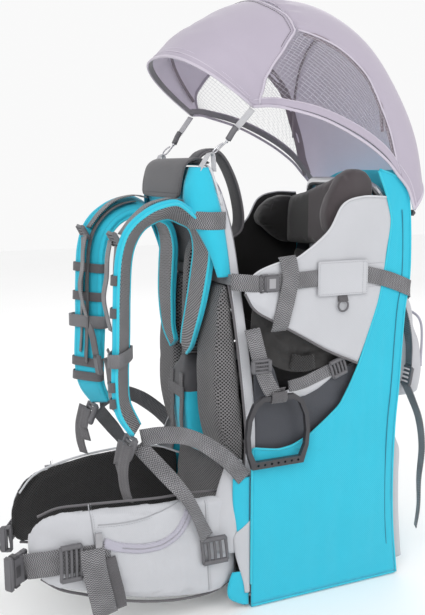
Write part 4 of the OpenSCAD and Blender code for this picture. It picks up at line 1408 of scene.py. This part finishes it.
HIP = [(117, -176, 116, 142, 16), (127, -215, 118, 168, 24), (132, -262, 121, 174, 24),
       (137, -315, 127, 168, 24),
       (138, -373, 137, 158, 24), (135, -431, 149, 140, 24), (127, -466, 154, 126, 24),
       (115, -492, 156, 96, 20),
       (104, -508, 155, 46, 10)]


def on_face(obj, y, z, sx, lift):
    """The point at (y, z) on the outer face of a mesh beside the middle, raised by lift."""
    hit, where, _, _ = obj.ray_cast(Vector((0.4 * sx, y * MM, z * MM)), Vector((-sx, 0, 0)))
    return [where.x / MM + sx * lift if hit else sx * 140, y, z]


def hip_belt():
    rows = curve(HIP, 7)
    t = heading(rows[:, :3])
    rings = []
    for r, d in zip(rows, t):
        up = np.array([0, 0, 1.0])
        rings.append(ring_at(r[:3], up, np.cross(d, up), r[3] - 4, r[4] - 6, padded_profile(0.45, 32)))
    wing = loft("hip_wing_cloth_right", rings, [LIGHT, MESH_YZ], "root", replaces="hip_wing_right",
                slot="light_cloth")
    puff(wing, voxel=5.0, frames=14, cap=5)
    for v in wing.data.vertices:
        q = v.co / MM
        v.co.x += 0.0016 * noise.noise(Vector((q.y / 40, q.z / 22,
                                               1.7))) + 0.0008 * noise.noise(Vector((q.y / 14,
                                                                                                    q.z / 60, 4.0)))
    paint_by(wing, lambda c, n: 0 if n[0] > -0.12 and not (c[0] < 122 and c[1] > -440) else 1)
    twin = mirrored(wing, "hip_wing_cloth_left", "root", "hip_wing_left")
    wings = {"right": wing, "left": twin}
    for side, sx in LEFT_RIGHT:
        w = wings[side]
        top = [[sx * (r[0] - 7), r[1], r[2] + r[3] / 2 - 1.5] for r in HIP[:8]]
        low = [[sx * (r[0] + 2), r[1], r[2] - r[3] / 2 + 1.5] for r in HIP[:8]]
        tube("hip_wing_piping_top_" + side, top, 2.0, LIGHT_PIPING if sx < 0 else BINDING, "root")
        tube("hip_wing_piping_low_" + side, low, 2.2, BINDING, "root")
        zip_line = curve([[0, -406, 164], [0, -385, 154], [0, -360, 146], [0, -334, 142], [0, -308, 145],
                          [0, -288, 155], [0, -275, 170], [0, -267, 188]], 4)
        tape = np.array([on_face(w, q[1], q[2], sx, 0.9) for q in zip_line])
        n = np.tile([float(sx), 0, 0], (len(tape), 1))
        sides = np.cross(heading(tape), n)
        rows2 = np.column_stack([tape, np.full(len(tape), 15), np.full(len(tape), 1.6)])
        ribbon("hip_zip_tape_" + side, rows2, sides, ZIP_TAPE, "root")
        for edge in (-6.5, 6.5):
            stitches("hip_zip_stitch_%s_%d" % (side, edge + 7), [tape + sides * edge + n * 0.9],
                     THREAD_LIGHT, "root",
                     3, 2.0, 0.3)
        stitches("hip_zip_teeth_" + side, [(tape + n * 1.0)[8:]], LIGHT_PLASTIC, "root", 2.0, 1.0, 1.1)
        seams = [[(-424, 222), (-422, 195), (-420, 168), (-417, 120), (-414, 96)],
                 [(-413, 192), (-370, 189), (-330, 192), (-290, 199), (-262, 206)],
                 [(-238, 196), (-236, 140), (-234, 90), (-231, 46)]]
        for k, line in enumerate(seams):
            pts = [on_face(w, y, z, sx, 0.3) for y, z in curve(on_x(0, line), 5)[:, 1:]]
            tube("hip_seam_%d_%s" % (k, side), pts, 0.9, THREAD_LIGHT, "root", sides=6)
            stitches("hip_seam_stitch_%d_%s" % (k, side), [np.array(pts) + [sx * 0.5, 3.4 if k != 1 else 0,
                                                                           -3.4 if k == 1 else 0]],
                     THREAD_LIGHT, "root", 4, 2.4, 0.3)
        belt = [on_face(w, y, z, sx, lift) for y, z, lift in
                ((-396, 143, 1.2), (-420, 144, 2.4), (-445, 144, 3), (-468, 143, 2.5))]
        belt += [[sx * 139, -482, 141], [sx * 128, -500, 137], [sx * 117, -514, 133]]
        web("hip_belt_web_" + side, belt, 39, 2.0, WEBBING, "root", side=(0, 0, 1), replaces="hip_webbing",
            slot="webbing")
        loop = [[sx * x, y, z] for x, y, z in ((157, -424, 160), (161, -424, 140), (164, -420, 112),
                                               (165, -414, 84),
                                               (162, -409, 60), (157, -405, 52))]
        web("hip_hanging_web_" + side, loop, 36, 2.0, WEBBING, "root", side=(0, 1, 0.1))
        back_loop = [[sx * x, y, z] for x, y,
                     z in ((156, -404, 140), (159, -398, 110), (160, -392, 82), (157, -388, 58))]
        web("hip_hanging_back_web_" + side, back_loop, 30, 2.0, WEBBING_DARK, "root", side=(0, 1, 0.2))
        lock_plate("hip_triglide_" + side, (sx * 153.5, -455, 143), (0, 90, 90 * sx), 52, 30, 5.5,
                   GREY_PLASTIC,
                   "root", replaces="hip_triglides", slot="black_plastic")
        lock_plate("hip_side_lock_" + side, (sx * 152, -226, 117), (12, 84, 90 * sx), 40, 38, 5.5,
                   GREY_PLASTIC,
                   "root")
        turn = (0, 0, 40 * sx)
        at = (sx * 112, -522, 131)
        if sx > 0:
            parts = [
                block("hip_buckle", (-6.5, -20, -23), (6.5, 6, 23), GREY_PLASTIC, "root", 3, turn, at),
                block("hip_buckle_mouth", (-7.5, -27, -26), (7.5, -19, 26), GREY_PLASTIC, "root", 2.5, turn,
                      at),
                block("hip_buckle_bar_a", (-4.5, 12, -23), (4.5, 16, 23), GREY_PLASTIC, "root", 1.8, turn,
                      at),
                block("hip_buckle_end_a", (-4.5, 3, 19), (4.5, 16, 24), GREY_PLASTIC, "root", 1.8, turn,
                      at),
                block("hip_buckle_end_b", (-4.5, 3, -24), (4.5, 16, -19), GREY_PLASTIC, "root", 1.8, turn,
                      at),
                block("hip_buckle_cut_a", (-7.0, -17, -24.5), (7.0, -6, -19), PLASTIC, "root", 1.4, turn,
                      at),
                block("hip_buckle_cut_b", (-7.0, -17, 19), (7.0, -6, 24.5), PLASTIC, "root", 1.4, turn, at),
                block("hip_buckle_rib", (-7.2, -16, -10), (7.2, -4, 10), PLASTIC, "root", 1.6, turn, at),
            ]
            join("hip_buckle_socket", parts, "root", "hip_buckle_female", "black_plastic")
        else:
            parts = [block("hip_plug", (-5, -8, -23), (5, 6, 23), GREY_PLASTIC, "root", 2.6, turn, at),
                     block("hip_plug_bar", (-4.5, 12, -23), (4.5, 16, 23), GREY_PLASTIC, "root", 1.8, turn,
                           at)]
            for z in (-16, 16):
                parts.append(block("hip_plug_arm", (-3.2, -34, z - 3), (3.2, -6, z + 3), GREY_PLASTIC,
                                   "root", 2, turn,
                                   at))
                parts.append(block("hip_plug_end", (-4.5, 3, z * 1.3 - 2.5), (4.5, 16, z * 1.3 + 2.5),
                                   GREY_PLASTIC,
                                   "root", 1.8, turn, at))
            parts.append(block("hip_plug_guide", (-2.4, -30, -3), (2.4, -6, 3), GREY_PLASTIC, "root", 1.4,
                               turn, at))
            join("hip_buckle_plug", parts, "root", "hip_buckle_male", "black_plastic")
        front = curve([[sx * 126, -190, 258], [sx * 130, -212, 205], [sx * 134, -226, 150],
                       [sx * 136, -232, 110]], 6)
        rear = curve([[sx * 134, -170, 250], [sx * 139, -176, 200], [sx * 142, -182, 140],
                      [sx * 142, -186, 100]], 6)
        count = min(len(front), len(rear))
        a, b = count_to(front, count), count_to(rear, count)
        grid = [[a[i] * (1 - v) + b[i] * v + [sx * 5 * math.sin(math.pi * v), 0, 0] for v in np.linspace(0, 1, 10)]
                for i in range(count)]
        gusset = cloth("hip_gusset_" + side, grid, 1.6, LIGHT, "root")
        paint_cad("zip_pull_" + side, LIGHT_PLASTIC)


def settle_far_wing():
    """The wearer's other hip wing hangs open: its front end sags and folds nearer the back."""
    for obj in blender_pieces(lambda name: name.startswith("hip_") and (name.endswith("_left") or "plug" in name)):
        for v in obj.data.vertices:
            share = min(1.2, max(0.0, (-255 - v.co.y / MM) / 225))
            v.co.z -= 42 * MM * share ** 1.5
            v.co.y += 16 * MM * share


hip_belt()
settle_far_wing()


# ---------------------------------------------------------------- cockpit

ARM = [(66, 570), (70, 640), (68, 688), (54, 704), (30, 707), (8, 694), (-10, 666), (-20, 634), (-14, 608),
       (12, 586),
       (36, 570)]


def cushion(name, outline, place, t0, t1, mat, cap, frames=12, **kw):
    """A pad cut to a flat outline: place(u, v, w) puts outline (u, v) at depth w between t0 and t1."""
    line = count_to(np.array([[0, u, v] for u, v in outline + outline[:1]], float), 41)[:-1, 1:]
    mid = line.mean(axis=0)
    rings = []
    for k, share in ((0.0, 0.80), (0.06, 0.93), (0.2, 1.0), (0.5, 1.0), (0.8, 1.0), (0.94, 0.93),
                     (1.0, 0.80)):
        rings.append([place(*(mid + (q - mid) * share), t0 + (t1 - t0) * k) for q in line])
    obj = loft(name, rings, mat, "root", **kw)
    puff(obj, voxel=5.0, frames=frames, cap=cap)
    return obj


def cockpit():
    arm = cushion("headrest_arm_right", ARM, lambda u, v, w: [w, u, v], 98, 133, [HEADREST, BLACK_LINING_AND_PAINTED_SHADE], 6)
    twin = mirrored(arm, "headrest_arm_left", "root")
    for v in twin.data.vertices:
        v.co.z -= 0.46 * max(0.0, v.co.z - 600 * MM)
    # Painted shade: the far arm, a copy of the near one, is painted black all over for the shadow it lies in.
    paint_by(twin, lambda c, n: 1)
    middle = [(-104, 570), (104, 570), (106, 640), (100, 690), (70, 698), (10, 684), (-50, 668), (-98, 656),
              (-106, 620)]
    back = cushion("headrest_back", middle, lambda u, v, w: [u, w, v], 36, 62, [HEADREST, BLACK_LINING_AND_PAINTED_SHADE], 4,
                   replaces="headrest", slot="dark_cloth")
    # Painted shade: the far (left) half of the headrest's back, where x is below -12 mm, is painted black for the
    # shadow there.
    paint_by(back, lambda c, n: 1 if c[0] < -12 else 0)
    seams = [[[sx * (100 - 3 * k), -8 + 10 * k, 600 + 30 * k] for k in range(3)] for sx in (-1, 1)]
    stitches("headrest_stitch", [even(s, 3) for s in seams], THREAD_DARK, "root", 4, 2.6, 0.4)
    panel = [(-108, 352), (108, 352), (111, 450), (108, 560), (-108, 560), (-111, 450)]
    cushion("backrest_pad", panel, lambda u, v, w: [u, w, v], 55, 65, BLACK_LINING_AND_PAINTED_SHADE, 3.5, replaces="backrest",
            slot="dark_cloth")
    seat_line = [(-40, -114), (40, -114), (52, -60), (98, -12), (102, 44), (-102, 44), (-98, -12),
                 (-52, -60)]
    line = count_to(np.array([[0, u, v] for u, v in seat_line + seat_line[:1]], float), 49)[:-1, 1:]
    mid = line.mean(axis=0)
    rings = [[[*(mid + (q - mid) * s), z] for q in line]
             for z, s in ((323, 0.86), (325, 0.95), (330, 1.0), (338, 1.0), (343, 0.95), (345, 0.86))]
    seat = loft("seat_cushion", rings, BLACK_LINING_AND_PAINTED_SHADE, "seat", replaces="seat_pan", slot="dark_cloth")
    puff(seat, voxel=5.0, frames=12, cap=3)
    for side, sx in LEFT_RIGHT:
        web("child_shoulder_web_" + side,
            [[sx * 44, y, z] for y, z in ((52, 556), (48, 500), (46, 452), (47, 420))],
            24, 1.8, WEBBING_DARK, "root", replaces="child_harness", slot="webbing")
        web("child_waist_web_" + side, [[sx * x, y, z] for x, y,
                                        z in ((58, 52, 408), (60, 20, 402), (56, -20, 404),
                                                                     (40, -48, 412), (24, -56, 412))],
            24, 1.8, WEBBING_DARK, "root", side=(0, 0, 1))
        top = curve(on_x(0, [(-154, 496), (-128, 478), (-77, 450), (-20, 418), (34, 392)]), 5)[:, 1:]
        low = curve(on_x(0, [(-152, 430), (-122, 402), (-80, 385), (-30, 386), (34, 384)]), 5)[:, 1:]
        n = min(len(top), len(low))
        a, b = count_to(on_x(0, top), n), count_to(on_x(0, low), n)
        grid = np.zeros((n, 22, 3))
        for i in range(n):
            for j in range(22):
                v = j / 21
                y, z = (a[i] * (1 - v) + b[i] * v)[1:]
                deep = 6.0 * noise.noise(Vector((y / 20 + v, z / 13,
                                                 3.0 * sx))) + 3 * noise.noise(Vector((y / 8,
                                                                                                     z / 8, 5.0)))
                grid[i, j] = [sx * (135 - 6 * math.sin(math.pi * v) + deep * math.sin(math.pi * v)), y, z]
        skirt = cloth("inner_skirt_" + side, grid, 1.4, BLACK_LINING_AND_PAINTED_SHADE, "root")
        strap = [[sx * 136, -88, 361], [sx * 137, -60, 366], [sx * 137.5, -30, 376], [sx * 138, 0, 386],
                 [sx * 138, 14, 391]]
        web("seat_side_web_" + side, strap, 20, 2, WEBBING, "root", side=(0, -0.25, 1))
        mesh_web = [[sx * 135, -84, 402], [sx * 136, -62, 396], [sx * 135, -40, 398]]
        web("seat_side_mesh_" + side, mesh_web, 26, 2, MESH_YZ, "root", side=(0, 0.1, 1))
        lock_plate("seat_side_lock_" + side, (sx * 140, 2, 385), (0, 70, 90 * sx), 26, 26, 5, GREY_PLASTIC,
                   "root")
        crescent_top = count_to(on_x(0, [(-100, 352), (-80, 358), (-50, 362), (-20, 370), (0, 377)]), 18)
        crescent_low = count_to(on_x(0, [(-102, 350), (-84, 343), (-58, 341), (-30, 352), (2, 374)]), 18)
        grid = [[crescent_top[i] * (1 - v) + crescent_low[i] * v + [sx * (134 + 3 * math.sin(math.pi * v)),
                                                                    0, 0]
                 for v in np.linspace(0, 1, 6)] for i in range(18)]
        cheek = cloth("seat_side_cloth_" + side, grid, 1.6, LIGHT, "root")
        upper = curve(on_x(0, [(-150, 432), (-118, 398), (-98, 351), (-58, 343), (0, 376), (40, 392)]),
                      5)[:, 1:]
        lower = curve(on_x(0, [(-150, 236), (-111, 232), (-55, 240), (4, 286), (30, 330), (46, 384)]), 5)[:, 1:]
        n = 40
        a, b = count_to(on_x(0, upper), n), count_to(on_x(0, lower), n)
        grid = np.zeros((n, 20, 3))
        for i in range(n):
            for j in range(20):
                v = j / 19
                y, z = (a[i] * (1 - v) + b[i] * v)[1:]
                fold = 1.6 * noise.noise(Vector((y / 40, z / 24, 6.0 * sx)))
                grid[i, j] = [sx * (134.5 + fold), y, z]
        lining = cloth("inner_lining_" + side, grid, 1.4, CHARCOAL, "root")
    parts = [block("child_buckle", (-24, -61, 397), (24, -53, 423), PLASTIC, "root", 3),
             block("child_buckle_button", (-8, -63.5, 402), (8, -60, 418), GREY_PLASTIC, "root", 1.6)]
    join("child_harness_buckle", parts, "root", "harness_buckle", "black_plastic")


cockpit()


# ---------------------------------------------------------------- side fittings

def side_fittings():
    for side, sx in LEFT_RIGHT:
        x = SIDE_X

        def line(points):
            return [[sx * q[0], q[1], q[2]] for q in points]
        front = line([(x - 8, -192, 537), (x - 1, -183, 536), (x + 1.6, -172, 535), (x + 2.4, -155, 533),
                      (x + 2.6, -140, 532)])
        web("side_web_front_" + side, front, 26, 2, WEBBING, "root", side=(0, 0, 1),
            replaces="side_webbing",
            slot="webbing")
        web("side_web_middle_" + side, line([(x + 2.2, -118, 533), (x + 2.4, -80, 534),
                                             (x + 2.4, -40, 536)]), 26, 2,
            WEBBING, "root", side=(0, 0, 1))
        web("side_web_rear_" + side, line([(x + 2.4, 44, 538), (x + 2.2, 62, 534), (x + 2.2, 92, 526),
                                           (x + 2.0, 124, 514), (x - 1, 137, 508), (x - 12, 141, 503),
                                           (x - 34, 142, 499)]), 26, 2, WEBBING, "root",
            side=((0, 0, 1), (0, 0, 1)))
        rib = line([(x - 2, -100, 572), (x + 2.4, -100, 569), (x + 5.2, -98, 556), (x + 5.4, -96, 536),
                    (x + 5.0, -102, 506), (x + 4.4, -108, 482), (x + 3.4, -112, 464), (x - 1, -113, 456)])
        web("side_rib_web_" + side, rib, 29, 2, WEBBING, "root", side=(0, 1, 0.15))
        block("side_patch_" + side, (-1.2, -46, -28), (1.2, 48, 28), LIGHT, "root", 1.1, (0, 0, 0),
              (sx * (x + 4.4), 0, 534), replaces="side_patches", slot="light_cloth")
        px = sx * (x + 5.8)
        frame_line = [[px, -43, 509], [px, 45, 509], [px, 45, 559], [px, -43, 559], [px, -43, 509]]
        stitches("side_patch_stitch_" + side, [even(frame_line, 1)], THREAD_LIGHT, "root", 4, 2.6, 0.32)
        inner = [[px, 38, 509], [px, 38, 559]]
        stitches("side_patch_stitch_inner_" + side, [even(inner, 1)], THREAD_LIGHT, "root", 4, 2.6, 0.32)
        for z in (553, 515):
            seam = [[sx * (x + 0.3), y, z + (y + 20) * 0.02] for y in range(52, 82, 4)]
            stitches("side_wing_stitch_%d_%s" % (z, side), [even(seam, 1)], THREAD_LIGHT, "root", 4, 2.6,
                     0.3)
        parts = [block("buckle", (0, -142, 523), (7, -116, 550), GREY_PLASTIC, "root", 2.4, (0, 0, 0),
                       (sx * (x + 4.5) - 3.5, 0, -4)),
                 block("buckle_face", (1, -137, 527), (8.5, -122, 546), LIGHT_PLASTIC, "root", 2.0,
                       (0, 0, 0),
                       (sx * (x + 4.8) - 4.5, 0, -4)),
                 block("buckle_bar", (1.5, -150, 522), (5.5, -146, 551), GREY_PLASTIC, "root", 1.6,
                       (0, 0, 0),
                       (sx * (x + 4.5) - 3.5, 0, -4)),
                 block("buckle_end_a", (1.5, -150, 547), (5.5, -134, 551), GREY_PLASTIC, "root", 1.6,
                       (0, 0, 0),
                       (sx * (x + 4.5) - 3.5, 0, -4)),
                 block("buckle_end_b", (1.5, -150, 522), (5.5, -134, 526), GREY_PLASTIC, "root", 1.6,
                       (0, 0, 0),
                       (sx * (x + 4.5) - 3.5, 0, -4))]
        join("side_buckle_" + side, parts, "root", "side_buckles", "black_plastic")
        tab = line([(x + 1.5, 2, 510), (x + 3.4, 2, 503), (x + 6.6, 2, 497.5), (x + 5, 2, 494.5),
                    (x + 2.2, 2, 497),
                    (x + 1.4, 2, 504)])
        web("d_ring_web_" + side, tab, 17, 1.2, WEBBING_DARK, "root", side=(0, 1, 0),
            replaces="d_ring_tabs",
            slot="webbing")
        paint_cad("d_ring_" + side, GREY_PLASTIC)
        paint_cad("stirrup_" + side, STIRRUP_PLASTIC)
        hang = line([(x - 4, -158, 462), (x + 2, -156, 446), (x + 4, -151, 424), (x + 6, -146, 404),
                     (x + 8, -138, 380),
                     (x + 10, -126, 357)])
        web("stirrup_web_" + side, hang, 26, 2, WEBBING, "root", side=(0, 1, 0.25), replaces="stirrup_webs",
            slot="webbing")
        wrap = line([(x + 14.5, -118, 362), (x + 16, -118, 353), (x + 13, -118, 345), (x + 7, -118, 345),
                     (x + 4.4, -118, 353), (x + 6, -118, 362), (x + 10, -119, 366)])
        web("stirrup_loop_web_" + side, wrap, 27, 1.8, WEBBING_DARK, "root", side=(0, 1, 0.0))
        lock_plate("stirrup_lock_" + side, (sx * (x + 6.5), -147, 404), (0, 0, 90 * sx), 30, 18, 5,
                   GREY_PLASTIC,
                   "root", bars=2)
        hook_body = "hook_" + side
        strap = line([(118, -148, 795), (116, -157, 784), (113, -167, 772), (111, -173, 765)])
        web("hook_web_" + side, strap, 10, 1.6, WHITE_WEB, hook_body, side=(0.42, 0.85, 0.3),
            replaces="hook_" + side, slot="white_webbing")
        tube("hook_clip_" + side, line([(111.5, -172, 768), (110.5, -177, 761), (109, -181, 754),
                                        (108, -184, 749)]),
             4.8, GREY_PLASTIC, hook_body, sides=12, step=3)
        tube("hook_swivel_" + side, line([(108, -184, 750), (107.3, -186.5, 745)]), 2.2, STEEL, hook_body,
             sides=12)
        bow = line([(107.3, -186, 746), (104.5, -190, 742), (102.5, -196, 736), (102, -202, 730.5),
                    (102.5, -206, 730),
                    (104.5, -206, 733), (106.5, -200, 739), (107.8, -192, 744)])
        tube("hook_snap_" + side, bow, 1.3, STEEL, hook_body, sides=10, step=2)


side_fittings()


# ---------------------------------------------------------------- rear

def rear_fittings():
    pocket = [(302, 224), (330, 231), (381, 229), (438, 212), (474, 196), (498, 176)]
    rows = curve([(z, y, 0) for z, y in pocket], 8)[:, :2]
    rings = []
    for z, y in rows:
        base = rear_y(z) + 3
        half = 86 - 10 * max(0, (z - 460) / 40) ** 2
        ring = []
        for u, v in padded_profile(0.4, 44):
            ring.append([u * half, base + (y - base) * (v + 1) / 2 + 2.5 * noise.noise(Vector((u * 1.4, z / 45, v))), z])
        rings.append(ring)
    bag = loft("rear_pocket_cloth", rings, LIGHT, "root", replaces="rear_pocket", slot="light_cloth")
    puff(bag, voxel=6.0, frames=12, cap=5)
    for name, rows3 in (("top", [[x, 196 - abs(x) * 0.1, 478] for x in range(-76, 77, 8)]),):
        tube("rear_pocket_piping_" + name, rows3, 1.8, BINDING, "root")
    arc = [[-78, 221, 352], [-70, 224, 430], [-40, 214, 452], [0, 213, 456], [40, 214, 452], [70, 224, 430],
           [78, 221, 352]]
    tube("rear_pocket_zip", arc, 2.4, ZIP_TAPE, "root")
    for side, sx in LEFT_RIGHT:
        upper = [[sx * x, y, z] for x, y,
                 z in ((106, 143, 502), (104, 150, 480), (101, 166, 440), (97, 176, 400),
                                               (95, 178, 362))]
        web("rear_strap_" + side, upper, 24, 2, WEBBING, "root", side=(1, 0, 0), replaces="rear_straps",
            slot="webbing")
        lock_plate("rear_lock_" + side, (sx * 96, 172, 345), (10, 0, 180), 32, 30, 5, GREY_PLASTIC, "root")
        tail = [[sx * x, y, z] for x, y, z in ((98, 172, 330), (104, 184, 300), (108, 198, 262),
                                               (109, 206, 210),
                                              (107, 204, 150), (104, 208, 96), (103, 204, 56))]
        web("rear_tail_" + side, tail, 20, 1.8, WEBBING, "root", side=((1, 0.2, 0), (0.9, -0.5, 0)))
        gusset = [[sx * 129, rear_y(z) + 11, z, 14, 24] for z in (24, 60, 120, 180, 222, 246)]
        gusset[-1][3:] = [8, 6]
        strip = band("rear_gusset_" + side, gusset, LIGHT, None, profile=FULL)
        blend_to_stand(strip)
        line = [[sx * 135.5, rear_y(z) + 8, z] for z in range(30, 236, 4)]
        teeth = stitches("rear_gusset_zip_" + side, [even(line, 1)], ZIP_TAPE, None, 2.2, 1.2, 1.0)
        blend_to_stand(teeth)
    paint_cad("zip_pull_rear", LIGHT_PLASTIC)


rear_fittings()

for node in ("back_frame", "frame_crossbars", "rear_hoop", "side_rails", "kick_stand"):
    paint_cad(node, ALUMINIUM)
paint_cad("hinge_brackets", PLASTIC)
paint_cad("pivot_pins", STEEL)


# ---------------------------------------------------------------- stage

def stage():
    floor = bpy.data.meshes.new("floor")
    s = 6.0
    floor.from_pydata([(-s, -s, 0), (s, -s, 0), (s, s, 0), (-s, s, 0)], [], [(0, 1, 2, 3)])
    obj = bpy.data.objects.new("floor", floor)
    obj.location.z = CAD_BOX[0][2] - 0.0005
    n = Nodes("pale_floor")
    vec, _, _, _ = n.coords()
    shade(n, 0.9)
    n.finish(n.mix(clouds(n, vec, 900), (0.93, 0.93, 0.93), (0.97, 0.97, 0.97)))
    floor.materials.append(n.mat)
    bpy.context.collection.objects.link(obj)

    world = bpy.data.worlds.new("studio")
    world.use_nodes = True
    world.node_tree.nodes["Background"].inputs[0].default_value = (1, 1, 1, 1)
    world.node_tree.nodes["Background"].inputs[1].default_value = 0.95
    bpy.context.scene.world = world

    def area(name, place, size, power):
        light = bpy.data.lights.new(name, "AREA")
        light.shape = "DISK"
        light.size = size
        light.energy = power
        lamp = bpy.data.objects.new(name, light)
        lamp.location = place
        aim = Vector((0, -0.05, 0.45)) - Vector(place)
        lamp.rotation_euler = aim.to_track_quat("-Z", "Y").to_euler()
        bpy.context.collection.objects.link(lamp)
    area("key", (1.9, -1.9, 2.3), 1.5, 26)
    area("fill", (2.4, 1.2, 1.4), 1.6, 12)
    area("rear", (-2.0, 1.4, 2.2), 1.5, 12)


def camera():
    """The photograph's viewpoint: eye height 0.71 m, 1.5 m from the middle, turned 65 degrees, 9.5 degrees down."""
    cam = bpy.data.cameras.new("camera")
    cam.sensor_width = 36
    cam.lens = 48.8
    obj = bpy.data.objects.new("camera", cam)
    yaw, down = math.radians(65.37), math.radians(9.49)
    obj.location = (1.265, -0.740, 0.707)
    look = Vector((-math.sin(yaw) * math.cos(down), math.cos(yaw) * math.cos(down), -math.sin(down)))
    obj.rotation_euler = look.to_track_quat("-Z", "Y").to_euler()
    bpy.context.collection.objects.link(obj)
    bpy.context.scene.camera = obj


stage()
camera()
bpy.context.scene.view_settings.view_transform = "Standard"
